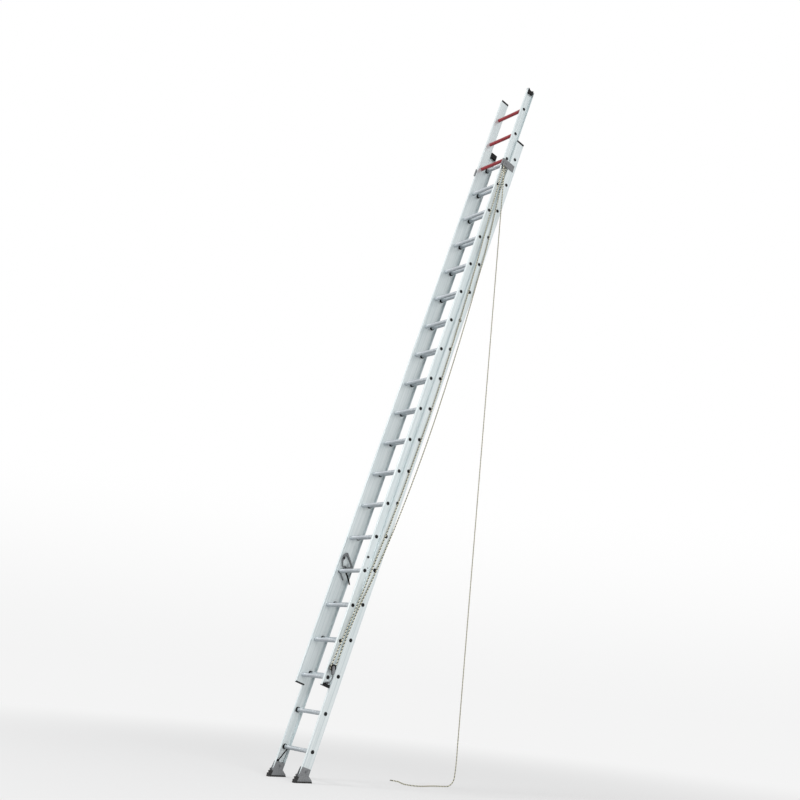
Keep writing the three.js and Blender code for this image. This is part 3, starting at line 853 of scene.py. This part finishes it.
# %% Stand the rails up
on_fly = leaning @ Matrix.Translation((0, -SECTION_OFFSET, FLY_RISE))
SIDES = (("right", lambda form: form), ("left", lambda form: form.mirrored()))
for side, hand in SIDES:
    base_form = hand(base_channel).placed(leaning)
    fly_form = hand(fly_channel).placed(on_fly)
    base_mesh = mesh_of(f"base_channel_{side}", base_form, rail_aluminium)
    fly_mesh = mesh_of(f"fly_channel_{side}", fly_form, rail_aluminium)
    show(f"base_channel_{side}", base_mesh, "base", [f"base_rail_{side}"], bevel=0.0007)
    show(f"fly_channel_{side}", fly_mesh, "fly", [f"fly_rail_{side}"], bevel=0.0007)
print("four rails")

# %% [markdown]
# ## Rail caps
# Black plastic caps close the ends of the rails: a lid over the metal and a plug inside the channel. The
# plug leaves room for the flange of the other section, which slides past it. The fly's top plug stands
# proud with a notch in it, which is drawn as an outline because a plain box would miss it.

# %% Cap the rails
LAP, LID, SKIRT = 0.0008, 0.005, 0.016
INSERT, INSERT_EDGE = 0.045, 0.030


def lid(inner, outer, low, high):
    return block(inner - LAP, outer + LAP, -HALF_DEPTH - LAP, HALF_DEPTH + LAP, low, high)


base_cap = lid(INNER, OUTER, base_end - SKIRT, base_end + LID)
base_cap += block(
    OUTER - 0.025,
    INNER - HAIR,
    -INSERT_EDGE,
    HALF_DEPTH - WALL - HAIR,
    base_end - INSERT,
    base_end + LID,
)
fly_top = lid(FLY_INNER, FLY_OUTER, fly_end - SKIRT, fly_end + LID)
crown = [
    (-HALF_DEPTH + WALL + HAIR, fly_end - INSERT),
    (INSERT_EDGE, fly_end - INSERT),
    (INSERT_EDGE, fly_end + LID),
    (0.018, fly_end + LID),
    (0.008, fly_end - 0.006),
    (-0.016, fly_end - 0.006),
    (-0.026, fly_end + LID),
    (-HALF_DEPTH + WALL + HAIR, fly_end + LID),
]
fly_top += slab(crown, FLY_OUTER + HAIR, FLY_TIP - LAP)
fly_foot = lid(FLY_INNER, FLY_OUTER, -0.077, -0.066)
fly_foot += block(FLY_OUTER + HAIR, FLY_TIP - LAP, -HALF_DEPTH + WALL + HAIR, INSERT_EDGE, -0.077, -0.052)
for side, hand in SIDES:
    caps = (
        ("base_cap", base_cap, leaning, "base"),
        ("fly_cap", fly_top, on_fly, "fly"),
        ("fly_foot_cap", fly_foot, on_fly, "fly"),
    )
    for label, form, place, body in caps:
        mesh = mesh_of(f"{label}_{side}", hand(form).placed(place), black_plastic)
        show(f"{label}_{side}", mesh, body, bevel=0.0006)
print("six caps")

# %% [markdown]
# ## Rungs
# A rung is a fluted tube, swaged at its ends to a neck that passes through the rail. A black plug with a
# wide domed head closes the neck outside, and the base rungs have a black collar inside as well. All
# rungs of a section are alike, so one mesh serves all, and the objects only differ in where they stand.
# The flutes are in the mesh, because they show at the rung's edge.

# %% One fluted tube
RUNG_RADIUS, NECK_RADIUS = 0.017, 0.0115
FLUTES, PER_FLUTE, FLUTE_DEPTH = 26, 4, 0.0007
BASE_REACH, FLY_REACH = 0.2022, 0.1797


def fluted(reach, outer_face):
    stations = [
        (-outer_face - 0.0004, NECK_RADIUS, 0),
        (-reach, NECK_RADIUS, 0),
        (-reach, RUNG_RADIUS - 0.0010, 0),
        (-reach + 0.0015, RUNG_RADIUS, 0),
        (-reach + 0.018, RUNG_RADIUS, 0),
        (-reach + 0.024, RUNG_RADIUS, 1),
    ]
    stations += [(-along, radius, flute) for along, radius, flute in stations[::-1]]
    sides = FLUTES * PER_FLUTE
    points = []
    for along, radius, flute in stations:
        for k in range(sides):
            angle = 2 * math.pi * k / sides
            dip = FLUTE_DEPTH * flute * (0.5 - 0.5 * math.cos(angle * FLUTES))
            reach_here = radius - dip
            points.append((along, reach_here * math.cos(angle), reach_here * math.sin(angle)))
    return Form(points, tube_faces(len(stations), sides))


def plug(outer_face):
    return spun(
        [
            (outer_face + HAIR, 0),
            (outer_face + HAIR, 0.0158),
            (outer_face + 0.0012, 0.0157),
            (outer_face + 0.0021, 0.0145),
            (outer_face + 0.0026, 0.0110),
            (outer_face + 0.0022, 0.0060),
            (outer_face + 0.0022, 0),
        ]
    )


collar = spun(
    [
        (BASE_REACH, RUNG_RADIUS + HAIR),
        (BASE_REACH, 0.0220),
        (0.1912, 0.0220),
        (0.1882, 0.0205),
        (0.1882, RUNG_RADIUS + HAIR),
    ],
    closed=True,
)
base_tube = fluted(BASE_REACH, OUTER)
fly_tube = fluted(FLY_REACH, FLY_OUTER)
base_ends = plug(OUTER) + collar + (plug(OUTER) + collar).mirrored()
fly_ends = plug(FLY_OUTER) + plug(FLY_OUTER).mirrored()
print("points of a rung", len(base_tube.points))

# %% Hang forty rungs
RED_RUNGS = 3
base_tube_mesh = mesh_of("base_rung_tube", base_tube, rung_aluminium, 50)
fly_tube_mesh = mesh_of("fly_rung_tube", fly_tube, rung_aluminium, 50)
red_tube_mesh = mesh_of("red_rung_tube", fly_tube, red_coat, 50)
base_ends_mesh = mesh_of("base_rung_ends", base_ends, black_plastic)
fly_ends_mesh = mesh_of("fly_rung_ends", fly_ends, black_plastic)
for i in range(RUNGS):
    label = f"{i + 1:02d}"
    here = leaning @ Matrix.Translation((0, 0, i * RUNG_PITCH))
    there = on_fly @ Matrix.Translation((0, 0, i * RUNG_PITCH))
    node = [f"base_rung_{label}"]
    show(f"base_tube_{label}", base_tube_mesh, "base", node, place=here)
    show(f"base_ends_{label}", base_ends_mesh, "base", place=here)
    red = i >= RUNGS - RED_RUNGS
    tube_mesh, tube_slot = (red_tube_mesh, "red_coat") if red else (fly_tube_mesh, "rung_aluminium")
    show(f"fly_tube_{label}", tube_mesh, "fly", [f"fly_rung_{label}"], place=there)
    show(f"fly_ends_{label}", fly_ends_mesh, "fly", place=there)
print(2 * RUNGS, "rungs,", RED_RUNGS, "of them red")

# %% [markdown]
# ## Braces under the lowest rung
# Two black rods run from under the lowest rung to flattened ends on the rails, and stop the feet from
# spreading. Beside each runs a thin bright tie. Rod and tie are tubes along a line, and each flat end is
# a small plate, because that is quicker than flattening the tube and looks the same at this size.

# %% Brace the foot
def rod(start, end, radius, sides=20):
    path = [Vector(start).lerp(Vector(end), i / 8) for i in range(9)]
    return sleeve(path, radius, 0.0, sides)


WEB_FACE = INNER - GAP
brace = rod((WEB_FACE - 0.050, 0, -0.012), (WEB_FACE - 0.005, -0.020, -0.122), 0.005)
brace += block(WEB_FACE - 0.003, WEB_FACE, -0.032, -0.008, -0.134, -0.110)
brace_rivet = [
    (WEB_FACE - 0.0030, 0),
    (WEB_FACE - 0.0030, 0.0052),
    (WEB_FACE - 0.0050, 0.0042),
    (WEB_FACE - 0.0056, 0),
]
brace += spun(brace_rivet, 24).at(0, -0.020, -0.130)
tie = rod((WEB_FACE - 0.046, 0.010, -0.0125), (WEB_FACE - 0.004, 0.030, -0.128), 0.0017, 12)
tie += block(WEB_FACE - 0.002, WEB_FACE, 0.022, 0.038, -0.138, -0.120)
for side, hand in SIDES:
    mesh = mesh_of(f"foot_brace_{side}", hand(brace).placed(leaning), black_plastic)
    show(f"foot_brace_{side}", mesh, "base")
    mesh = mesh_of(f"foot_tie_{side}", hand(tie).placed(leaning), zinc_steel)
    show(f"foot_tie_{side}", mesh, "base")
print("two braces, each with a tie")

# %% [markdown]
# ## Rung locks
# A hook on a bolt through each fly rail sits over a base rung and carries the fly. Its window makes it
# light, and its front leg is an arc about the bolt, so that it clears the rung as it lifts. A black
# finger closes the mouth from below. It has its own bolt in the rail here, which is a guess, and that
# bolt ends in a flat rivet. A thick plate with a bevel shows such a hook well.

# %% Hooks
PIVOT_N, PIVOT_U = HOOK_BOLT
FALL = math.degrees(math.atan2(-PIVOT_U, -PIVOT_N))
LEG_REACH = BOLT_TO_RUNG - RUNG_RADIUS - GAP
LEG_END, LEG_WIDTH, SHOULDER = -55, 0.026, 0.020
on_lock = leaning @ Matrix.Translation((0, 0, LOCK_SEAT))
HOOK_OUTER = FLY_INNER - GAP
HOOK_INNER = HOOK_OUTER - 0.014
hook_outline = [
    *arc_of(0, 0, RUNG_RADIUS + GAP, 50, 180 + FALL, 24),
    *arc_of(PIVOT_N, PIVOT_U, LEG_REACH, FALL, LEG_END, 8)[1:],
    *arc_of(PIVOT_N, PIVOT_U, LEG_REACH - LEG_WIDTH, LEG_END, LEG_END - 20, 12),
    (PIVOT_N - 0.012, PIVOT_U - SHOULDER),
    (PIVOT_N - 0.012, PIVOT_U + SHOULDER),
    *arc_of(-0.072, 0.122, 0.012, 150, 45, 14),
    (0.026, 0.046),
    (0.026, 0.024),
]


def hex_head(radius, low, high, y, z):
    return slab(ring_of(y, z, radius, 6), low, high)


hook_window = [
    (-0.060, 0.108),
    (0.004, 0.050),
    (0.009, 0.040),
    *arc_of(0, 0, 0.0280, 72, 122, 8),
    *arc_of(PIVOT_N, PIVOT_U, 0.093, -38, -46, 3),
    *arc_of(PIVOT_N, PIVOT_U, 0.068, -52, -74, 8),
    (-0.086, 0.054),
    *arc_of(PIVOT_N, PIVOT_U, 0.0155, -50, 50, 12),
    (-0.066, 0.110),
]
hook_plate = slab(hook_outline, HOOK_INNER, HOOK_OUTER, [hook_window])
hook_bolt = bar(0.006, HOOK_INNER - 0.0072, FLY_OUTER + 0.0075, PIVOT_N, PIVOT_U)
hook_bolt += hex_head(0.011, HOOK_INNER - 0.006, HOOK_INNER - HAIR, PIVOT_N, PIVOT_U)
hook_bolt += hex_head(0.011, FLY_OUTER + GAP, FLY_OUTER + 0.0063, PIVOT_N, PIVOT_U)
for side, hand in SIDES:
    plate_mesh = mesh_of(f"hook_plate_{side}", hand(hook_plate).placed(on_lock), zinc_steel)
    bolt_mesh = mesh_of(f"hook_bolt_{side}", hand(hook_bolt).placed(on_lock), dark_steel)
    show(f"hook_plate_{side}", plate_mesh, f"lock_{side}", [f"lock_hook_{side}"], bevel=0.0012)
    show(f"hook_bolt_{side}", bolt_mesh, f"lock_{side}", bevel=0.0005)
print("hook leg reaches", round(LEG_REACH * 1000, 1), "mm")

# %% Fingers
FINGER_OUTER = HOOK_INNER - GAP
FINGER_INNER = FINGER_OUTER - 0.006
FINGER_HEAD, FINGER_TAPER = 0.009, 0.004


def finger_edges(steps=24):
    start, knee, tip = Vector(FINGER_BOLT), Vector((0.009, -0.049)), Vector((0.049, -0.109))
    below, above = [], []
    for i in range(steps + 1):
        t = i / steps
        at = start * (1 - t) ** 2 + knee * (2 * t * (1 - t)) + tip * t**2
        heading = ((knee - start) * (1 - t) + (tip - knee) * t).normalized()
        width = FINGER_HEAD - FINGER_TAPER * t
        below.append((at.x + heading.y * width, at.y - heading.x * width))
        above.append((at.x - heading.y * width, at.y + heading.x * width))
    lead = (knee - start).normalized()
    turn_degrees = math.degrees(math.atan2(lead.y, lead.x))
    head = arc_of(start.x, start.y, FINGER_HEAD, turn_degrees + 95, turn_degrees + 265, 14)
    return [*below, *above[::-1], *head]


finger_plate = slab(finger_edges(), FINGER_INNER, FINGER_OUTER)
finger_bolt = bar(0.004, FINGER_INNER - 0.004, FLY_OUTER + GAP, *FINGER_BOLT)
finger_bolt += hex_head(0.0085, FINGER_INNER - 0.005, FINGER_INNER - HAIR, *FINGER_BOLT)
rivet_end = [
    (FLY_OUTER + GAP, 0),
    (FLY_OUTER + GAP, 0.0064),
    (FLY_OUTER + 0.0010, 0.0056),
    (FLY_OUTER + 0.0014, 0),
]
finger_bolt += spun(rivet_end, 32).at(0, *FINGER_BOLT)
for side, hand in SIDES:
    body = f"finger_{side}"
    plate_mesh = mesh_of(f"finger_plate_{side}", hand(finger_plate).placed(on_lock), black_plastic)
    bolt_mesh = mesh_of(f"finger_bolt_{side}", hand(finger_bolt).placed(on_lock), zinc_steel)
    show(f"finger_plate_{side}", plate_mesh, body, [f"lock_finger_{side}"], bevel=0.001)
    show(f"finger_bolt_{side}", bolt_mesh, body, bevel=0.0005)
print("finger plates between x", round(FINGER_INNER, 4), "and", round(FINGER_OUTER, 4))

# %% Guide plates under the locks
guide_outline = [
    *arc_of(0, 0, RUNG_RADIUS + 0.003, 190, 300, 20),
    (0.054, -0.064),
    (0.057, -0.061),
    *arc_of(0, 0, RUNG_RADIUS + HAIR, 300, 190, 20),
]
on_guide = on_fly @ Matrix.Translation((0, 0, 3 * RUNG_PITCH))
guide_plate = slab(guide_outline, HOOK_INNER, HOOK_OUTER)
for side, hand in SIDES:
    mesh = mesh_of(f"guide_plate_{side}", hand(guide_plate).placed(on_guide), zinc_steel)
    show(f"guide_plate_{side}", mesh, "fly", bevel=0.0004)
print("two guide plates")

# %% [markdown]
# ## Guide brackets and the upper pulley
# A plate on each base rail wraps round the front of the fly rail and keeps the sections together. The
# right one also carries the upper pulley between the plate and an outer cheek.

# %% Brackets
FACE = OUTER + GAP
FRONT = -SECTION_OFFSET - HALF_DEPTH - 0.001
LIP = FACE + 0.003 - 0.022
BRACKET_TOP = TOP_RUNG - 0.069
bracket_outline = [
    (FACE, 0.020),
    (FACE, FRONT),
    (LIP, FRONT),
    (LIP, FRONT - 0.003),
    *arc_of(LIP + 0.009, FRONT - 0.003, 0.009, 190, 350, 16),
    (FACE + 0.003, FRONT - 0.003),
    (FACE + 0.003, 0.020),
]
bracket = slab(bracket_outline, BRACKET_TOP - 0.072, BRACKET_TOP, along="u")
rivet = spun([(0, 0), (0, 0.0062), (0.0014, 0.0056), (0.0024, 0.0036), (0.0028, 0)], 28)
for height in (-0.060, -0.012):
    for forward in (0.008, -0.022):
        bracket += rivet.at(FACE + 0.0031, forward, BRACKET_TOP + height)

WHEEL_HALF, WHEEL_PLAY = 0.0075, 0.0008
CHEEK_IN = SHEAVE_X + WHEEL_HALF + WHEEL_PLAY
AXLE_N, AXLE_U = TOP_SHEAVE[1], TOP_SHEAVE[2]
PLATE = FACE + 0.0029
foot = AXLE_U - 0.036
cheek_outline = [*arc_of(AXLE_N, AXLE_U, 0.033, 0, 180, 32), (AXLE_N - 0.033, foot), (AXLE_N + 0.033, foot)]
housing = slab(cheek_outline, CHEEK_IN, CHEEK_IN + 0.003)
housing += bar(0.005, PLATE, CHEEK_IN + 0.0030, AXLE_N, AXLE_U)
housing += hex_head(0.009, CHEEK_IN + 0.0031, CHEEK_IN + 0.008, AXLE_N, AXLE_U)
housing += bar(0.004, PLATE, CHEEK_IN, AXLE_N, AXLE_U + 0.031)
housing += bar(0.004, PLATE, CHEEK_IN, AXLE_N, AXLE_U - 0.032)
for side, hand in SIDES:
    mesh = mesh_of(f"bracket_{side}", hand(bracket).placed(leaning), cast_grey)
    show(f"bracket_{side}", mesh, "base", [f"guide_bracket_{side}"], bevel=0.0006)
housing_mesh = mesh_of("pulley_housing", housing.placed(leaning), cast_grey)
show("pulley_housing", housing_mesh, "base", bevel=0.0006)
print("pulley housing in the plane x =", SHEAVE_X)

# %% [markdown]
# ## Pulley wheels and the lower block
# A wheel is a turned disc with a groove for the rope. The lower one sits between two narrow straps, which
# a bent link ties to a stud at the foot of the fly rail. It rises with the fly, so the rope lifts it with
# half the effort. Half of the wheel's profile is written down and mirrored, because both rims are alike.

# %% Wheels
ROOT = PITCH_RADIUS - ROPE_RADIUS - 0.0009
half_profile = [
    (0.0048, ROOT),
    (0.0067, 0.0270),
    (WHEEL_HALF, 0.0268),
    (WHEEL_HALF, 0.0215),
    (0.0062, 0.0200),
    (0.0062, 0.0125),
    (WHEEL_HALF, 0.0110),
    (WHEEL_HALF, 0.0052),
]
other_half = [(-along, radius) for along, radius in half_profile[::-1]]
wheel = spun(other_half + half_profile, 64, closed=True)
for label, centre, body, node in (
    ("upper_wheel", TOP_SHEAVE, "top_wheel", "top_sheave"),
    ("lower_wheel", LOWER_SHEAVE, "lower_wheel", "lower_sheave"),
):
    place = leaning @ Matrix.Translation(centre)
    mesh = mesh_of(label, wheel.placed(place), black_plastic)
    show(label, mesh, body, [node])
print("wheels of 54 mm")

# %% Lower block
STUD_U = FLY_RISE - 0.044
BLOCK_N, BLOCK_U = LOWER_SHEAVE[1], LOWER_SHEAVE[2]
IN_CHEEK, OUT_CHEEK = SHEAVE_X - 0.0083, SHEAVE_X + 0.0083
EYE_N, EYE_U = BLOCK_N + 0.016, BLOCK_U - 0.046
block_outline = [*arc_of(BLOCK_N, BLOCK_U, 0.0125, 15, 200, 24), *arc_of(EYE_N, EYE_U, 0.0090, 200, 375, 16)]
cheeks = slab(block_outline, IN_CHEEK - 0.003, IN_CHEEK) + slab(block_outline, OUT_CHEEK, OUT_CHEEK + 0.003)
cheeks += bar(0.005, IN_CHEEK - 0.0005, OUT_CHEEK + 0.0005, BLOCK_N, BLOCK_U)
cheeks += bar(0.005, IN_CHEEK, OUT_CHEEK, EYE_N, EYE_U)
outside = OUT_CHEEK + 0.0031
cheeks += hex_head(0.0085, outside, outside + 0.004, BLOCK_N, BLOCK_U)
cheeks += hex_head(0.0070, outside, outside + 0.003, EYE_N, EYE_U)
mesh = mesh_of("lower_block_cheeks", cheeks.placed(leaning), cast_grey)
show("lower_block_cheeks", mesh, "fly", ["lower_block"], bevel=0.0006)
link_points = [
    Vector((SHEAVE_X, EYE_N - 0.001, EYE_U + 0.001)),
    Vector((SHEAVE_X, EYE_N + 0.010, EYE_U - 0.030)),
    Vector((SHEAVE_X, EYE_N + 0.004, EYE_U - 0.058)),
    Vector((SHEAVE_X, BLOCK_N + 0.004, STUD_U + 0.004)),
    Vector((SHEAVE_X, BLOCK_N, STUD_U)),
]
link_path = even_steps(smooth_line(link_points), 0.003)[0]
link = sleeve(link_path, 0.0038, 0.0, 20)
link += bar(0.0095, IN_CHEEK, OUT_CHEEK, BLOCK_N, STUD_U)
link += bar(0.006, FLY_OUTER + GAP, IN_CHEEK + 0.0002, BLOCK_N, STUD_U)
link += hex_head(0.010, OUT_CHEEK + HAIR, OUT_CHEEK + 0.005, BLOCK_N, STUD_U)
mesh = mesh_of("lower_block_link", link.placed(leaning), zinc_steel)
show("lower_block_link", mesh, "fly")
print("block stud", round(STUD_U, 4))

# %% [markdown]
# ## Feet
# Each foot is a cast shoe that straddles the rail and swivels on a bolt. Its heel has teeth for soft
# ground and its flat tread a ribbed rubber sole for hard floors. A dark block fills the heel and stands
# out past the casting by about a millimetre. It is raised from the teeth's own points, so that both
# outlines agree.

# %% Shoes
HEEL, TOE, TREAD, PAD = 0.092, 0.062, 0.006, 0.012
TOOTH, TEETH = 0.009, 3
floor_edge = -PIVOT_HEIGHT + PAD
teeth = []
for i in range(TEETH):
    teeth.append((-HEEL + i * TOOTH, floor_edge + TREAD + (2 * i + 1) * TOOTH))
    teeth.append((-HEEL + (i + 1.6) * TOOTH, floor_edge + TREAD + (2 * i + 1.4) * TOOTH))
shoe_outline = [
    (-HEEL, floor_edge),
    (TOE, floor_edge),
    (TOE, floor_edge + TREAD),
    (0.030, -0.030),
    (0.042, 0.018),
    (-0.036, 0.038),
    *teeth[::-1],
]
SHOE_OUT, SHOE_IN = OUTER + GAP, OUTER - 0.028 - GAP
shoe_form = slab(shoe_outline, SHOE_OUT, SHOE_OUT + 0.004) + slab(shoe_outline, SHOE_IN - 0.004, SHOE_IN)
shoe_form += block(SHOE_IN - HAIR, SHOE_OUT + HAIR, -HEEL, TOE, floor_edge, floor_edge + TREAD)
spur_outline = [
    (-HEEL - 0.001, floor_edge + HAIR),
    (-HEEL + 0.020, floor_edge + HAIR),
    (-HEEL + 0.034, floor_edge + 0.036),
    *[(y - 0.0012, z) for y, z in teeth[:4][::-1]],
]
heel_spur = slab(spur_outline, SHOE_IN - 0.0048, SHOE_OUT + 0.0048)
shoe_bolt = bar(0.005, SHOE_IN - 0.005, SHOE_OUT + 0.005)
shoe_bolt += hex_head(0.010, SHOE_OUT + 0.0041, SHOE_OUT + 0.009, 0, 0)
shoe_bolt += hex_head(0.010, SHOE_IN - 0.009, SHOE_IN - 0.0041, 0, 0)
print("shoe", round((HEEL + TOE) * 1000), "mm long")


# %% Soles
GROOVE = 0.003


def sole(grooves=11):
    start, end = -HEEL - 0.002, TOE + 0.002
    step = (end - start) / (2 * grooves + 1)
    line = []
    for i in range(grooves + 1):
        left, right = start + 2 * i * step, start + (2 * i + 1) * step
        line += [(left, -PIVOT_HEIGHT), (right, -PIVOT_HEIGHT)]
        if i < grooves:
            line += [(right, -PIVOT_HEIGHT + GROOVE), (right + step, -PIVOT_HEIGHT + GROOVE)]
    top = floor_edge - GAP
    return slab([*line, (end, top), (start, top)], SHOE_IN - 0.006, SHOE_OUT + 0.006)


for side, hand in SIDES:
    body = f"shoe_{side}"
    shoe_mesh = mesh_of(f"shoe_casting_{side}", hand(shoe_form).placed(standing), cast_grey)
    bolt_mesh = mesh_of(f"shoe_bolt_{side}", hand(shoe_bolt).placed(standing), zinc_steel)
    sole_mesh = mesh_of(f"sole_{side}", hand(sole()).placed(standing), rubber)
    show(f"shoe_casting_{side}", shoe_mesh, body, [f"shoe_{side}"], bevel=0.0009)
    show(f"shoe_bolt_{side}", bolt_mesh, body, bevel=0.0005)
    spur_mesh = mesh_of(f"heel_spur_{side}", hand(heel_spur).placed(standing), rubber)
    show(f"heel_spur_{side}", spur_mesh, body, bevel=0.0008)
    show(f"sole_{side}", sole_mesh, body, [f"shoe_pad_{side}"], bevel=0.0005)
print("two feet")

# %% [markdown]
# ## Floor, backdrop and light
# A plain pale floor and soft light show the object without drawing attention. To the camera and in
# reflections the world is a very pale grey at the horizon that rises to white, so that metal mirrors a
# studio, and it gives even light. The floor turns into that grey a few metres away and keeps the
# shadow near the feet. A broad lamp from the camera's left shapes the rails, and a weaker one from its
# right lifts their near sides.

# %% Studio
EVEN_LIGHT, HORIZON = 0.50, 0.905
RISE_FROM, RISE_TO = -0.02, 0.15
FADE_NEAR, FADE_FAR, FADE_LEAST = 2.0, 8.0, 0.45
FLOOR_HALF = 90
LAMP_AIM, LAMP_SIZE = (0, 0.9, 3.0), 4.0


def plain_world():
    world = bpy.data.worlds.new("studio")
    world.use_nodes = True
    bpy.context.scene.world = world
    background = world.node_tree.nodes["Background"]
    wire = Wire(world.node_tree)
    seen = wire.add("ShaderNodeLightPath", {}, {}, "Is Camera Ray")
    shined = wire.add("ShaderNodeLightPath", {}, {}, "Is Glossy Ray")
    through = wire.add("ShaderNodeLightPath", {}, {}, "Is Transmission Ray")
    any_of = {"operation": "ADD", "use_clamp": True}
    share = wire.add("ShaderNodeMath", any_of, {0: seen + shined, 1: through})
    toward = wire.add("ShaderNodeTexCoord", {}, {}, "Generated")
    height = wire.add("ShaderNodeSeparateXYZ", {}, {0: toward}, "Z")
    spread = {0: height, 1: RISE_FROM, 2: RISE_TO}
    rise = wire.add("ShaderNodeMapRange", {"interpolation_type": "SMOOTHSTEP"}, spread)
    strength = EVEN_LIGHT + share * (HORIZON - EVEN_LIGHT + rise * (1 - HORIZON))
    world.node_tree.links.new(strength.socket, background.inputs["Strength"])
    background.inputs["Color"].default_value = (1, 1, 1, 1)


def floor_look(wire):
    return {"Base Color": colour(0.84, 0.84, 0.843), "Roughness": 0.9, "Specular IOR Level": 0.0}


def fade_to_white(made, near, far):
    tree = made.node_tree
    wire = Wire(tree)
    place = wire.add("ShaderNodeTexCoord", {}, {}, "Object")
    away = wire.add("ShaderNodeVectorMath", {"operation": "LENGTH"}, {0: place}, "Value")
    seen = wire.add("ShaderNodeLightPath", {}, {}, "Is Camera Ray")
    white = wire.add("ShaderNodeEmission", {}, {"Strength": EVEN_LIGHT + seen * (HORIZON - EVEN_LIGHT)})
    plain = Wire(tree, tree.nodes["Principled BSDF"].outputs[0])
    spread = {0: away, 1: near, 2: far, 3: FADE_LEAST, 4: 1.0}
    share = wire.add("ShaderNodeMapRange", {"interpolation_type": "SMOOTHSTEP"}, spread)
    both = wire.add("ShaderNodeMixShader", {}, {0: share, 1: plain, 2: white})
    tree.links.new(both.socket, tree.nodes["Material Output"].inputs["Surface"])
    return made


plain_world()
corners = [(x * FLOOR_HALF, y * FLOOR_HALF, 0) for x, y in ((-1, -1), (1, -1), (1, 1), (-1, 1))]
floor_form = Form(corners, [[0, 1, 2, 3]])
floor_finish = fade_to_white(finish("floor", floor_look), FADE_NEAR, FADE_FAR)
floor = bpy.data.objects.new("floor", mesh_of("floor", floor_form, floor_finish))
bpy.context.scene.collection.objects.link(floor)


def lamp(name, place, aim, size, power):
    data = bpy.data.lights.new(name, "AREA")
    data.size = size
    data.energy = power
    made = bpy.data.objects.new(name, data)
    made.location = place
    made.rotation_euler = (Vector(aim) - Vector(place)).to_track_quat("-Z", "Y").to_euler()
    bpy.context.scene.collection.objects.link(made)
    return made


lamp("key", (-3.0, -10.0, 9.0), LAMP_AIM, LAMP_SIZE, 760)
lamp("side", (9.0, -1.0, 4.0), LAMP_AIM, LAMP_SIZE, 330)
bpy.context.scene.view_settings.view_transform = "Standard"
print("studio ready")
